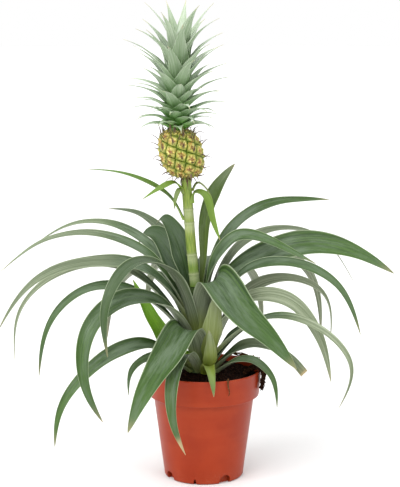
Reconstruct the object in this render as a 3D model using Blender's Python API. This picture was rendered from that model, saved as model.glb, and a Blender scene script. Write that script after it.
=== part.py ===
"""A potted pineapple plant: nursery pot, peat, a rosette of strap leaves, stalk, fruit and crown.

Metres, +Z up. The origin is where the pot's axis meets the surface that the pot stands on.
The front of the plant faces -Y. An azimuth is measured in plan from +X towards +Y, in degrees.
"""

from collections import namedtuple

import bmesh
import bpy
import numpy as np

MM = 0.001
GAP = 0.35

# Pot, in millimetres: a 12 cm injection-moulded nursery pot.
POT_HEIGHT = 114.5
RIM_RADIUS = 60.0
BAND_FOOT_RADIUS = 57.4
BAND_FOOT_HEIGHT = 87.0
WALL_TOP_RADIUS = 52.2
FOOT_RADIUS = 41.2
WALL = 1.6
FOOT_FILLET = 2.6
FLOOR_HEIGHT = 4.0
FLOOR_THICKNESS = 2.4
FLOOR_COVE = 3.0
BUTTON_RADIUS = 9.0
BEAD_RADIUS = 1.0
BAND_INSIDE_HEIGHT = BAND_FOOT_HEIGHT + 3.0
POT_SEGMENTS = 40
NOTCHES = 8
FIRST_NOTCH_AZIMUTH = 212.0
NOTCH_WIDTHS = (13.0, 3.0)
NOTCH_HEIGHTS = (9.0, 6.0)
NOTCH_REACH = (35.5, 50.0)
NOTCH_SIDES = 7

# Peat and the short stem that carries the rosette.
SOIL_HEIGHT = 106.0
SOIL_CROWN = 2.0
SOIL_SHOULDER = 5.0
STEM_FOOT_HEIGHT = 88.0
STEM_TOP_HEIGHT = 200.0
STEM_FOOT_RADIUS = 14.0
STEM_TOP_RADIUS = 6.5
STEM_LEAN = 9.0
PIT_CLEARANCE = 1.0

# Flower stalk, fruit and crown.
STALK_RADIUS = 5.3
STALK_ROUTE = ((-9.0, 0.0, 200.9), (-11.5, 0.0, 225.0), (-15.0, 0.0, 268.0), (-18.4, 0.0, 315.4))
FRUIT_LENGTH = 46.6
FRUIT_RADIUS = 21.6
FRUIT_FOOT = (-18.9, 0.0, 316.0)
FRUIT_LEAN = 10.0
FRUIT_END = 0.4
BARREL_POWER = 0.6
CROWN_LEAN = -2.0
CROWN_TIERS = 10
TIER_PITCH = 6.3
TIER_TURN = 137.5
PLATE_THICKNESS = 3.2
CROWN_LEAF_THICKNESS = 0.9
CROWN_LEAF_STEPS = 6
CROWN_LEAF_CUP = 0.3
NEIGHBOUR_SHARE = 0.9

LEAF_THICKNESS = 1.3
LEAF_STATIONS = 11
BRACT_THICKNESS = 0.9
ROOT_GAP = 0.8
EDGE_SHARE = 0.6

# A clump of peat and roots over the right rim, and one thin root over the front rim: azimuth, then the
# points of the route as (distance from the pot's axis, height).
CLUMP_AZIMUTH = -13.0
CLUMP_ROUTE = ((44, 112), (55, 117.5), (61.5, 117.5), (62.8, 108), (61.2, 92))
CLUMP_HALF_WIDTHS = (9.0, 8.5, 5.0)
CLUMP_THICKNESS = 1.8
CLUMP_STATIONS = 12
FIBRE_AZIMUTH = -66.0
FIBRE_ROUTE = ((48, 109.6), (56, 113.5), (60, 116.2), (61.6, 110), (60.9, 99))
FIBRE_RADII = (0.6, 0.8, 0.5)

# One rosette leaf: its azimuth, the height of its root on the stem, the points that its midrib passes
# through as (reach from the stem's axis, height), its full width, how far it rolls its upper side
# towards the front in degrees, its sideways swing at the tip, how far its edges rise, and the width
# of its end as a share of the full width.
Leaf = namedtuple("Leaf", "name azimuth root route width roll swing cup tip", defaults=(0, 0, 0.16, 0.04))

ROSETTE = (
    Leaf("leaf_front_short", -82, 110, ((32, 123), (54, 126), (64, 119), (67, 101)), 12, 0, 0, 0.1),
    Leaf("leaf_rim_right", -30, 109, ((57, 129), (80, 115), (88, 84)), 10, 30),
    Leaf("leaf_low_left_dark", 188, 110, ((51, 127), (72, 116), (78, 87)), 12, 30),
    Leaf("leaf_front_pot", 247, 113, ((50, 140), (90, 124), (106, 92), (96, 50)), 16, 0, -22),
    Leaf("leaf_low_right_cut", -12, 113, ((48, 141), (82, 135), (106, 113)), 14, 35, 0, 0.12, 0.7),
    Leaf("leaf_front_upright", -70, 114, ((27, 128), (34, 146), (38, 163)), 15, 0, 8, 0.2),
    Leaf("leaf_low_left", 203, 117, ((69, 145), (125, 123), (158, 80), (163, 48)), 16, 45),
    Leaf("leaf_back_low_right", 22, 118, ((42, 150), (62, 156), (78, 148)), 11, 20),
    Leaf("leaf_sucker", -65, 121, ((26, 158), (32, 190), (38, 205)), 23, 0, 0, 0.15),
    Leaf("leaf_front_big", 243, 122, ((38, 163), (74, 146), (120, 118), (157, 86)), 32, 18, 0, 0.16),
    Leaf("leaf_back_far", 96, 126, ((45, 180), (95, 190), (140, 160), (158, 112)), 18),
    Leaf("leaf_right_twist", -33, 127, ((77, 177), (140, 173), (174, 141), (162, 96)), 10, 30),
    Leaf("leaf_right_mid", 14, 130, ((51, 194), (100, 203), (133, 183), (140, 135)), 14, 35),
    Leaf("leaf_left_wide_arch", 219, 132, ((42, 182), (95, 200), (140, 180), (149, 125), (126, 78)), 22, 35),
    Leaf("leaf_back_left_low", 132, 134, ((48, 190), (100, 200), (140, 170), (155, 118)), 17),
    Leaf("leaf_right_pale", -26, 136, ((53, 192), (97, 195), (130, 163), (145, 115)), 18, 40),
    Leaf("leaf_left_hook", 198, 142, ((72, 200), (122, 205), (158, 176), (172, 118)), 15, 40),
    Leaf("leaf_left_under", 176, 143, ((84, 220), (150, 210), (190, 168), (196, 118)), 13, 30),
    Leaf("leaf_back_right_low", 64, 143, ((48, 194), (100, 202), (142, 172), (160, 120)), 17),
    Leaf("leaf_backlit", 206, 126, ((40, 143), (54, 166), (67, 191), (78, 215)), 20, 65),
    Leaf("leaf_right_drop", 42, 148, ((62, 214), (117, 220), (168, 180), (180, 118)), 14, -35),
    Leaf("leaf_front_left_arch", 226, 150, ((44, 222), (94, 237), (131, 206), (132, 150)), 20, 15),
    Leaf("leaf_right_hook", -20, 152, ((52, 222), (98, 232), (148, 211), (171, 163)), 15, 45),
    Leaf("leaf_back_middle", 112, 154, ((44, 205), (92, 214), (136, 188), (156, 140)), 18),
    Leaf("leaf_front_right_big", -57, 156, ((30, 213), (70, 193), (122, 172), (170, 150)), 34, 38, 0, 0.16),
    Leaf("leaf_left_long_low", 184, 160, ((58, 220), (111, 227), (167, 209), (209, 154)), 15, 40),
    Leaf("leaf_back_right_thin", 30, 162, ((48, 238), (99, 252), (155, 234), (195, 185)), 12, 20),
    Leaf("leaf_left_long", 168, 164, ((50, 228), (112, 251), (165, 242), (214, 207)), 12, 30),
    Leaf("leaf_right_big", 5, 173, ((36, 216), (74, 236), (115, 244), (157, 236), (205, 210)), 27, 60),
    Leaf("leaf_back_short", 82, 171, ((30, 212), (66, 220), (100, 202)), 15),
    Leaf("leaf_left_high", 149, 176, ((56, 236), (124, 257), (176, 243), (210, 222)), 11, 30),
    Leaf("leaf_right_short", -8, 178, ((28, 243), (42, 254), (62, 254), (90, 243), (122, 228)), 15, 45),
    Leaf("leaf_back_left_broad", 137, 180, ((34, 230), (58, 248), (76, 246), (86, 229)), 28, 40),
    Leaf("leaf_right_high", 33, 183, ((32, 246), (73, 274), (120, 280), (170, 276)), 13, 35, 0, 0.2),
    Leaf("leaf_heart_left", 126, 174, ((34, 222), (78, 254), (120, 262), (168, 259)), 12, 20),
    Leaf("leaf_heart_back", 132, 192, ((20, 236), (36, 258), (50, 265), (64, 258)), 24, 40),
    Leaf("leaf_heart_upright", 46, 192, ((11, 236), (12, 268), (30, 300), (60, 322)), 14, 40),
)

# The narrow bracts on the stalk, in the same terms, with the reach measured from the stalk's axis.
BRACTS = (
    Leaf("bract_left_long", 177, 270, ((18, 292), (42, 309), (72, 319), (106, 322)), 6, 25, 0, 0.2),
    Leaf("bract_clasping", -14, 288, ((8, 299), (14, 299), (24, 280), (34, 250)), 8, 45, 0, 0.1),
    Leaf("bract_right_thin", 12, 300, ((11, 308), (20, 302), (28, 282)), 4.5, 20, 0, 0.2),
    Leaf("bract_left_bright", 200, 302, ((12, 309), (24, 307), (48, 294)), 6, 30, 0, 0.2),
    Leaf("bract_left_dark", 222, 298, ((9, 303), (15, 296), (18, 283)), 4.5, 20, 0, 0.2),
)


def clear_scene():
    for thing in list(bpy.data.objects):
        bpy.data.objects.remove(thing)


def directions(azimuth):
    """The level direction outwards at an azimuth, and the level direction across it."""
    turn = np.radians(azimuth)
    return np.array([np.cos(turn), np.sin(turn), 0.0]), np.array([np.sin(turn), -np.cos(turn), 0.0])


def smooth_step(value):
    """0 below 0, 1 above 1, and 3v^2 - 2v^3 between."""
    value = np.clip(value, 0.0, 1.0)
    return value**2 * (3 - 2 * value)


def unit(vectors):
    """Each row over its own length."""
    return vectors / np.linalg.norm(vectors, axis=1)[:, None]


def material(name, colour, roughness):
    """A Principled material with one colour."""
    made = bpy.data.materials.new(name)
    made.use_nodes = True
    shader = made.node_tree.nodes["Principled BSDF"]
    shader.inputs["Base Color"].default_value = (*colour, 1.0)
    shader.inputs["Roughness"].default_value = roughness
    shader.inputs["Metallic"].default_value = 0.0
    made.diffuse_color = (*colour, 1.0)
    return made


def mesh_object(name, points, faces, finish, sharp_angle=40.0):
    """One object from points in millimetres and faces that point outwards."""
    mesh = bpy.data.meshes.new(name)
    mesh.from_pydata([tuple(p) for p in np.asarray(points) * MM], [], faces)
    mesh.materials.append(finish)
    mesh.validate()
    mesh.shade_smooth()
    mesh.set_sharp_from_angle(angle=np.radians(sharp_angle))
    made = bpy.data.objects.new(name, mesh)
    bpy.context.scene.collection.objects.link(made)
    return made


def smooth_curve(points, count):
    """count points on the natural cubic spline through the given points, evenly spaced along its chords."""
    points = np.asarray(points, float)
    steps = np.linalg.norm(np.diff(points, axis=0), axis=1)
    knots = np.concatenate([[0.0], np.cumsum(steps)])
    n = len(points)
    system = np.eye(n)
    right = np.zeros_like(points)
    for i in range(1, n - 1):
        before, after = steps[i - 1], steps[i]
        system[i, i - 1 : i + 2] = before, 2.0 * (before + after), after
        slopes = (points[i + 1] - points[i]) / after - (points[i] - points[i - 1]) / before
        right[i] = 6.0 * slopes
    bend = np.linalg.solve(system, right)
    at = np.linspace(0.0, knots[-1], count)
    span = np.clip(np.searchsorted(knots, at, side="right") - 1, 0, n - 2)
    width = steps[span][:, None]
    left = (knots[span + 1] - at)[:, None]
    past = (at - knots[span])[:, None]
    curve = bend[span] * left**3 / (6 * width) + bend[span + 1] * past**3 / (6 * width)
    curve += (points[span] / width - bend[span] * width / 6) * left
    curve += (points[span + 1] / width - bend[span + 1] * width / 6) * past
    return curve


def turned(name, profile, finish, segments=POT_SEGMENTS, middle=None, sharp_angle=40.0):
    """A closed solid turned about Z. The profile runs from a point on the axis to another, outer side
    on its right, as (radius, height). middle gives the axis's place at each height."""
    profile = np.asarray(profile, float)
    rings = profile[1:-1]
    angles = np.arange(segments) * 2.0 * np.pi / segments
    x = rings[:, :1] * np.cos(angles)
    y = rings[:, :1] * np.sin(angles)
    z = np.repeat(rings[:, 1:], segments, axis=1)
    points = np.stack([x, y, z], axis=-1).reshape(-1, 3)
    ends = np.array([(0.0, 0.0, profile[0, 1]), (0.0, 0.0, profile[-1, 1])])
    points = np.concatenate([points, ends])
    if middle is not None:
        points[:, :2] += np.array([middle(height) for height in points[:, 2]])
    first, last = len(points) - 2, len(points) - 1
    faces = []
    for j in range(segments):
        k = (j + 1) % segments
        faces.append((first, k, j))
        for i in range(len(rings) - 1):
            a, b = i * segments, (i + 1) * segments
            faces.append((a + j, a + k, b + k, b + j))
        top = (len(rings) - 1) * segments
        faces.append((last, top + j, top + k))
    return mesh_object(name, points, faces, finish, sharp_angle)


def arc(centre, radius, start, end, count):
    """Points on a circular arc, with angles in degrees."""
    angles = np.radians(np.linspace(start, end, count))
    return [(centre[0] + radius * np.cos(a), centre[1] + radius * np.sin(a)) for a in angles]


def pot_profile():
    """The wall's section, from the middle underneath, round the rim, to the middle of the floor."""
    recess = (BUTTON_RADIUS + 2.0, FOOT_RADIUS - 10.2)
    outer = [(0.0, 0.0), (BUTTON_RADIUS, 0.0), (recess[0], FLOOR_HEIGHT)]
    outer += [(recess[1], FLOOR_HEIGHT), (recess[1] + 2.0, 0.0)]
    outer += arc((FOOT_RADIUS - FOOT_FILLET, FOOT_FILLET), FOOT_FILLET, -90, 0, 4)
    outer += [(WALL_TOP_RADIUS, BAND_FOOT_HEIGHT - 1.5), (WALL_TOP_RADIUS + 1.2, BAND_FOOT_HEIGHT - 0.2)]
    outer += [(BAND_FOOT_RADIUS - 0.8, BAND_FOOT_HEIGHT), (BAND_FOOT_RADIUS, BAND_FOOT_HEIGHT + 0.9)]
    outer += arc((RIM_RADIUS - BEAD_RADIUS, POT_HEIGHT - BEAD_RADIUS), BEAD_RADIUS, -10, 170, 7)
    floor_top = FLOOR_HEIGHT + FLOOR_THICKNESS
    foot_inside = FOOT_RADIUS - WALL
    inner = [(BAND_FOOT_RADIUS - WALL, BAND_INSIDE_HEIGHT)]
    inner += [(WALL_TOP_RADIUS - WALL, BAND_FOOT_HEIGHT - 1.0), (foot_inside, floor_top + FLOOR_COVE)]
    inner += [(foot_inside - FOOT_FILLET, floor_top), (0.0, floor_top)]
    return outer + inner


def notch_cutter(azimuth, width, height):
    """A round-topped bar that crosses the foot ring at one azimuth. Its round top starts at 0.35 of
    the notch's height, and its flat bottom is 4 mm under the pot."""
    angles = np.radians(np.linspace(0, 180, NOTCH_SIDES))
    section = [(-width / 2, -4.0), (width / 2, -4.0)]
    section += [(width / 2 * np.cos(a), height * (0.35 + 0.65 * np.sin(a))) for a in angles]
    out, side = directions(azimuth)
    points = [out * reach + side * s + np.array([0, 0, h]) for reach in NOTCH_REACH for s, h in section]
    n = len(section)
    faces = [(i, (i + 1) % n, n + (i + 1) % n, n + i) for i in range(n)]
    faces += [tuple(reversed(range(n))), tuple(range(n, 2 * n))]
    cutter = mesh_object(f"cutter_{azimuth:.0f}", points, faces, bpy.data.materials["pot_plastic"])
    outward_triangles(cutter)
    cutter.hide_render = True
    cutter.display_type = "WIRE"
    return cutter


def outward_triangles(thing):
    """Turns a closed mesh's faces outwards and splits them into triangles, because the four corners of
    a twisted blade's faces don't lie in one plane."""
    work = bmesh.new()
    work.from_mesh(thing.data)
    bmesh.ops.recalc_face_normals(work, faces=work.faces)
    bmesh.ops.triangulate(work, faces=work.faces)
    work.to_mesh(thing.data)
    work.free()


def make_pot():
    pot = turned("pot", pot_profile(), material("pot_plastic", (0.52, 0.075, 0.03), 0.42), sharp_angle=30)
    for i in range(NOTCHES):
        azimuth = (FIRST_NOTCH_AZIMUTH + 360.0 / NOTCHES * i) % 360
        cutter = notch_cutter(azimuth, NOTCH_WIDTHS[i % 2], NOTCH_HEIGHTS[i % 2])
        cut = pot.modifiers.new(f"notch_{i}", "BOOLEAN")
        cut.operation = "DIFFERENCE"
        cut.solver = "EXACT"
        cut.object = cutter


def make_soil():
    """Peat that fills the pot, with a low mound, a pit for the stem and an uneven top."""
    inside = GAP + WALL
    foot = FOOT_RADIUS - inside
    band = BAND_FOOT_RADIUS - inside
    bottom = FLOOR_HEIGHT + FLOOR_THICKNESS + GAP
    rise = (SOIL_HEIGHT - BAND_INSIDE_HEIGHT) / (POT_HEIGHT - BAND_INSIDE_HEIGHT)
    edge = band + rise * (RIM_RADIUS - BAND_FOOT_RADIUS)
    pit = STEM_FOOT_RADIUS + PIT_CLEARANCE
    profile = [(0.0, bottom), (foot - FOOT_FILLET - 0.3, bottom), (foot, bottom + FLOOR_COVE + 0.4)]
    profile += [(WALL_TOP_RADIUS - inside, BAND_FOOT_HEIGHT - 1.0), (band, BAND_INSIDE_HEIGHT)]
    profile += [(edge, SOIL_HEIGHT)]
    radii = np.linspace(edge - SOIL_SHOULDER, pit, 5)
    mound = SOIL_HEIGHT + SOIL_CROWN * (1 - (radii / edge) ** 2)
    profile += list(zip(radii, mound))
    profile += [(pit, STEM_FOOT_HEIGHT - GAP), (0.0, STEM_FOOT_HEIGHT - GAP)]
    return turned("potting_soil", profile, material("peat", (0.022, 0.014, 0.009), 0.95))


def stem_middle(height):
    """Where the stem's axis is at a height: it leans to -X, more and more towards the top."""
    share = np.clip((height - STEM_FOOT_HEIGHT) / (STEM_TOP_HEIGHT - STEM_FOOT_HEIGHT), 0.0, 1.0)
    return np.array([-STEM_LEAN * share**1.5, 0.0])


def stem_radius(height):
    share = (height - STEM_FOOT_HEIGHT) / (STEM_TOP_HEIGHT - STEM_FOOT_HEIGHT)
    return STEM_FOOT_RADIUS + (STEM_TOP_RADIUS - STEM_FOOT_RADIUS) * share


def make_stem():
    heights = np.linspace(STEM_FOOT_HEIGHT, STEM_TOP_HEIGHT, 9)
    profile = [(0.0, STEM_FOOT_HEIGHT)]
    profile += [(stem_radius(height), height) for height in heights]
    profile += [(0.0, STEM_TOP_HEIGHT)]
    return turned("plant_stem", profile, material("stem", (0.30, 0.33, 0.10), 0.6), 20, stem_middle)


def tube(name, route, radii, finish, sides=14, stations=16):
    """A closed round tube along a smooth curve, with a radius for each station."""
    path = smooth_curve(route, stations)
    radii = np.interp(np.linspace(0, 1, stations), np.linspace(0, 1, len(radii)), radii)
    along = unit(np.gradient(path, axis=0))
    side = unit(np.cross(along, (0.0, 1.0, 0.0)))
    up = np.cross(side, along)
    angles = np.arange(sides) * 2.0 * np.pi / sides
    ring = side[:, None] * np.cos(angles)[:, None] + up[:, None] * np.sin(angles)[:, None]
    points = (path[:, None] + ring * radii[:, None, None]).reshape(-1, 3)
    faces = []
    for i in range(stations - 1):
        for j in range(sides):
            k = (j + 1) % sides
            a, b = i * sides, (i + 1) * sides
            faces.append((a + j, a + k, b + k, b + j))
    faces += [tuple(reversed(range(sides))), tuple(range((stations - 1) * sides, stations * sides))]
    outward_triangles(mesh_object(name, points, faces, finish))


def leaf_width(share, end):
    """A leaf's width along it as a share of its full width: 0.3 at the root, full between 0.36 and 0.45
    of the length, and drawn out from there to the width of its end."""
    rise = 0.3 + 0.7 * smooth_step(share / 0.36)
    fall = np.clip((1.0 - share) / 0.55, 0.0, 1.0) ** 0.85
    return np.maximum(rise * fall, end)


def strap(name, path, across, half_widths, cup, thickness, finish):
    """A thin closed blade along a path. Each section is a shallow channel of six points: left edge,
    midrib and right edge on the upper side, and the same three on the lower side."""
    along = unit(np.gradient(path, axis=0))
    across = unit(across - along * np.sum(across * along, axis=1)[:, None])
    upper = np.cross(across, along)
    lift = upper * (half_widths * cup)[:, None] * 2.0
    half = across * half_widths[:, None]
    depth = upper * thickness
    edge = depth * EDGE_SHARE
    ring = [path + half + lift, path, path - half + lift]
    ring += [path - half + lift - edge, path - depth, path + half + lift - edge]
    points = np.stack(ring, axis=1).reshape(-1, 3)
    faces = []
    for i in range(len(path) - 1):
        a, b = 6 * i, 6 * (i + 1)
        for j in range(6):
            k = (j + 1) % 6
            faces.append((a + j, a + k, b + k, b + j))
    end = 6 * (len(path) - 1)
    faces += [(0, 5, 4, 1), (1, 4, 3, 2)]
    faces += [(end, end + 1, end + 4, end + 5), (end + 1, end + 2, end + 3, end + 4)]
    outward_triangles(mesh_object(name, points, faces, finish))


def leaf_path(leaf, middle, radius):
    """The midrib in space and the direction across the blade, from a leaf's row."""
    out, side = directions(leaf.azimuth)
    flat = smooth_curve([(radius + ROOT_GAP, leaf.root), *leaf.route], LEAF_STATIONS)
    share = np.linspace(0.0, 1.0, LEAF_STATIONS)
    path = out * flat[:, :1] + side * (leaf.swing * share**2)[:, None]
    path[:, 2] = flat[:, 1]
    path[:, :2] += middle
    return path, rolled(path, side, share, leaf), share


def rolled(path, side, share, leaf):
    """The direction across the blade: level at the root, turned about the midrib towards half way."""
    along = unit(np.gradient(path, axis=0))
    front = np.sign(np.cos(np.radians(leaf.azimuth)))
    turn = front * np.radians(leaf.roll) * smooth_step(share / 0.45)[:, None]
    return side * np.cos(turn) + np.cross(along, side) * np.sin(turn)


def make_leaf(leaf, finish, middle, radius, thickness):
    path, across, share = leaf_path(leaf, middle, radius)
    half_widths = leaf.width / 2 * leaf_width(share, leaf.tip)
    strap(leaf.name, path, across, half_widths, leaf.cup, thickness, finish)


def make_rosette():
    finish = material("leaf_green", (0.13, 0.24, 0.10), 0.5)
    for leaf in ROSETTE:
        make_leaf(leaf, finish, stem_middle(leaf.root), stem_radius(leaf.root), LEAF_THICKNESS)


def stalk_middle(height):
    route = np.array(STALK_ROUTE)
    return np.array([np.interp(height, route[:, 2], route[:, 0]), 0.0])


def make_stalk():
    finish = material("stalk_green", (0.33, 0.42, 0.17), 0.5)
    tube("flower_stalk", STALK_ROUTE, (STALK_RADIUS, STALK_RADIUS * 0.94, STALK_RADIUS), finish)
    for bract in BRACTS:
        make_leaf(bract, finish, stalk_middle(bract.root), STALK_RADIUS, BRACT_THICKNESS)


def leaning(foot, lean):
    """The axis of a piece that stands on foot and leans to -X by an angle in degrees."""
    slope = np.tan(np.radians(lean))
    return lambda height: np.array([foot[0] - (height - foot[2]) * slope, foot[1]])


def make_fruit():
    """A barrel: a superellipse turned about the fruit's axis, flat where the stalk and the crown join."""
    start = np.arccos(FRUIT_END ** (1 / BARREL_POWER))
    angles = np.linspace(-start, start, 12)
    radii = FRUIT_RADIUS * np.cos(angles) ** BARREL_POWER
    heights = np.sin(angles) / np.sin(start)
    heights = FRUIT_FOOT[2] + FRUIT_LENGTH * (heights + 1) / 2
    profile = [(0.0, heights[0]), *zip(radii, heights), (0.0, heights[-1])]
    finish = material("fruit_rind", (0.72, 0.47, 0.12), 0.5)
    return turned("fruit", profile, finish, 28, leaning(FRUIT_FOOT, FRUIT_LEAN))


def climb_curve(rise, fall, length):
    """A crown leaf's midrib as reaches and heights: its slope goes from rise to fall, in degrees, with
    the 1.25th power of the distance along it, and is added up step by step."""
    t = np.linspace(0, 1, CROWN_LEAF_STEPS)
    slope = np.radians(rise + (fall - rise) * t**1.25)
    step = length / (CROWN_LEAF_STEPS - 1)
    reach = np.concatenate([[0], np.cumsum(np.cos(slope[:-1]) + np.cos(slope[1:])) / 2]) * step
    climb = np.concatenate([[0], np.cumsum(np.sin(slope[:-1]) + np.sin(slope[1:])) / 2]) * step
    return t, slope, reach, climb


def tier_leaves(share, count, plate, height, spin):
    """The upper and lower points of a tier's leaves, three across at each step after the plate. Leaves
    are longer, steeper and less curled back with each tier up, and each stays inside its own sector."""
    length = 33 + 44 * share**0.8
    t, slope, reach, climb = climb_curve(32 + 50 * share, -62 + 99 * share**0.75, length)
    full_width = 10.5 + 6.5 * np.sin(np.pi * share**0.7)
    half = full_width / 2 * np.minimum(0.75 + 1.2 * t, 1.0) * np.clip((1 - t) / 0.62, 0.05, 1) ** 0.8
    foot = plate * np.cos(np.pi / count)
    corner = np.tan(np.pi / count)
    half = np.minimum(half, NEIGHBOUR_SHARE * (foot + reach) * corner / (1 + CROWN_LEAF_CUP * corner))
    top, low = [], []
    for i in range(count):
        out, side = directions(spin + 360.0 * i / count)
        for s in range(1, CROWN_LEAF_STEPS):
            centre = out * (foot + reach[s]) + np.array([0, 0, height + climb[s]])
            upper = np.array([0, 0, np.cos(slope[s])]) - out * np.sin(slope[s])
            for across in (1, 0, -1):
                point = centre + side * across * half[s] + upper * abs(across) * half[s] * CROWN_LEAF_CUP
                top.append(point)
                low.append(point - upper * CROWN_LEAF_THICKNESS)
    return np.array(top), np.array(low)


def tier_faces(count):
    """The faces of a tier whose points are the plate's upper rim, its lower rim, and then the upper and
    the lower points of its leaves. The rim has a point at each leaf's middle and between the leaves."""
    n_rim, n_leaf = 2 * count, 3 * (CROWN_LEAF_STEPS - 1)
    top_start, low_start = 2 * n_rim, 2 * n_rim + count * n_leaf

    def row(i, s, start, rim_start):
        if s == 0:
            return [rim_start + (2 * i + j) % n_rim for j in range(3)]
        return [start + i * n_leaf + 3 * (s - 1) + j for j in range(3)]

    faces = [tuple(range(n_rim)), tuple(reversed(range(n_rim, 2 * n_rim)))]
    for i in range(count):
        for s in range(CROWN_LEAF_STEPS - 1):
            a, b = row(i, s, top_start, 0), row(i, s + 1, top_start, 0)
            c, d = row(i, s, low_start, n_rim), row(i, s + 1, low_start, n_rim)
            faces += [(a[0], b[0], b[1], a[1]), (a[1], b[1], b[2], a[2])]
            faces += [(c[1], d[1], d[0], c[0]), (c[2], d[2], d[1], c[1])]
            faces += [(c[0], d[0], b[0], a[0]), (a[2], b[2], d[2], c[2])]
        end = CROWN_LEAF_STEPS - 1
        a, c = row(i, end, top_start, 0), row(i, end, low_start, n_rim)
        faces += [(a[0], c[0], c[1], a[1]), (a[1], c[1], c[2], a[2])]
    return faces


def crown_tier(number, foot, finish):
    """One tier of crown leaves: a round plate whose rim is drawn out into curved leaves."""
    share = number / (CROWN_TIERS - 1)
    count = round(8 - 4 * share)
    plate = 8.6 - 5.6 * share
    height = foot[2] + GAP + PLATE_THICKNESS + TIER_PITCH * number
    spin = number * TIER_TURN
    top, low = tier_leaves(share, count, plate, height, spin)
    corner = np.pi / count
    turns = np.radians(spin) + np.arange(2 * count) * corner - corner
    radii = np.where(np.arange(2 * count) % 2 == 0, plate, plate * np.cos(corner))
    rim = np.stack([radii * np.cos(turns), radii * np.sin(turns), np.full(2 * count, height)], axis=1)
    points = np.concatenate([rim, rim - (0, 0, PLATE_THICKNESS), top, low])
    points[:, :2] += leaning(foot, CROWN_LEAN)(height)
    outward_triangles(mesh_object(f"crown_tier_{number + 1:02d}", points, tier_faces(count), finish))


def make_crown():
    top = FRUIT_FOOT[2] + FRUIT_LENGTH
    foot = (*leaning(FRUIT_FOOT, FRUIT_LEAN)(top), top)
    finish = material("crown_green", (0.22, 0.34, 0.20), 0.5)
    for number in range(CROWN_TIERS):
        crown_tier(number, foot, finish)


def make_roots():
    """The clump over the right rim and the thin root over the front rim."""
    finish = material("roots", (0.20, 0.11, 0.05), 0.9)
    out, side = directions(CLUMP_AZIMUTH)
    flat = smooth_curve(CLUMP_ROUTE, CLUMP_STATIONS)
    path = out * flat[:, :1]
    path[:, 2] = flat[:, 1]
    share = np.linspace(0, 1, CLUMP_STATIONS)
    half_widths = np.interp(share, (0, 0.5, 1), CLUMP_HALF_WIDTHS)
    strap("root_clump", path, np.tile(side, (CLUMP_STATIONS, 1)), half_widths, 0.0, CLUMP_THICKNESS, finish)
    out, side = directions(FIBRE_AZIMUTH)
    route = [(out[0] * reach, out[1] * reach, height) for reach, height in FIBRE_ROUTE]
    tube("root_fibre", route, FIBRE_RADII, finish, 8, 14)


def build():
    clear_scene()
    make_pot()
    make_soil()
    make_stem()
    make_rosette()
    make_stalk()
    make_fruit()
    make_crown()
    make_roots()


build()
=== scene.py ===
# %% [markdown]
# # A potted pineapple plant
#
# A young pineapple grows in a terracotta-orange nursery pot: a rosette of long channelled leaves, a
# stalk with a small ripening fruit, and the fruit's own crown of grey-green leaves.
#
# The plant's measured frame is loaded first. Every piece below is made around that frame, in metres,
# with +Z up and the front of the plant towards -Y. Shapes are worked out as whole numpy arrays, and
# finishes are made of shader nodes.

# %% Load the frame
from collections import namedtuple

import bpy
import numpy as np
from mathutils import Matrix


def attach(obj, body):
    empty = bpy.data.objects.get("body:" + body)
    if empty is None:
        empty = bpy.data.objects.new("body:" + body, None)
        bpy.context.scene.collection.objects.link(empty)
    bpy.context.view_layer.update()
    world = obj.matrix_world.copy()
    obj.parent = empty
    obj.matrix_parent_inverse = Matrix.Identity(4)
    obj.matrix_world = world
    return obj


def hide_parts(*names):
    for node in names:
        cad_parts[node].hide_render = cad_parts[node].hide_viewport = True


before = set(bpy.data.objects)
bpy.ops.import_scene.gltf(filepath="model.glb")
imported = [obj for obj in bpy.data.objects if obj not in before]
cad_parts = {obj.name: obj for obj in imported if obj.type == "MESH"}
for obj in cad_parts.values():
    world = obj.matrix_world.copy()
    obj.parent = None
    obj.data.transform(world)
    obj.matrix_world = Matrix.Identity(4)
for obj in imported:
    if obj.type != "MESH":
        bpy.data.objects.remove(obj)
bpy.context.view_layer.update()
MM = 0.001

# %% [markdown]
# ## Camera
#
# A long lens far away keeps the pot's sides nearly parallel. The camera stands a little above the
# fruit and looks down at the middle of the plant, so the rim of the pot shows as a flat oval.

# %% Camera
CAMERA_PLACE = (-0.004, -1.76, 0.578)
CAMERA_AIM = (-0.004, 0.0, 0.2455)
LENS_MM = 129.0


def add_aimed(name, data, place, aim):
    """A camera or a light at place whose view direction is the straight line to aim."""
    made = bpy.data.objects.new(name, data)
    bpy.context.scene.collection.objects.link(made)
    line = np.subtract(aim, place)
    made.location = place
    made.rotation_euler = (np.arctan2(np.hypot(*line[:2]), -line[2]), 0.0, -np.arctan2(line[0], line[1]))
    return made


camera = add_aimed("camera", bpy.data.cameras.new("camera"), CAMERA_PLACE, CAMERA_AIM)
camera.data.lens, camera.data.sensor_width = LENS_MM, 36.0
bpy.context.scene.camera = camera
print("camera lens", camera.data.lens, "mm")

# %% [markdown]
# ## Surfaces from arrays
#
# Nearly everything on a plant is a strip or a tube: rows of points, each row a closed ring. One helper
# turns such a block of points, rows by ring by three, into a closed mesh. It joins neighbouring rows
# with quads, closes both ends, and turns the faces outwards by the sign of the enclosed volume. Values
# that a finish needs, such as how far a point is along its leaf, travel with the mesh as attributes.

# %% Mesh helpers
def ring_quads(rows, ring):
    """Quads between each row and the next, going once round the ring."""
    start, j = np.meshgrid(np.arange(rows - 1) * ring, np.arange(ring), indexing="ij")
    k = (j + 1) % ring
    return np.stack([start + j, start + k, start + ring + k, start + ring + j], axis=-1).reshape(-1, 4)


def end_quads(row, ring):
    """Closes a flat ring, whose second half runs back under the first, with quads across it."""
    half = ring // 2
    j = np.arange(half - 1)
    return row * ring + np.stack([j, j + 1, ring - 2 - j, ring - 1 - j], axis=-1)


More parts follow.
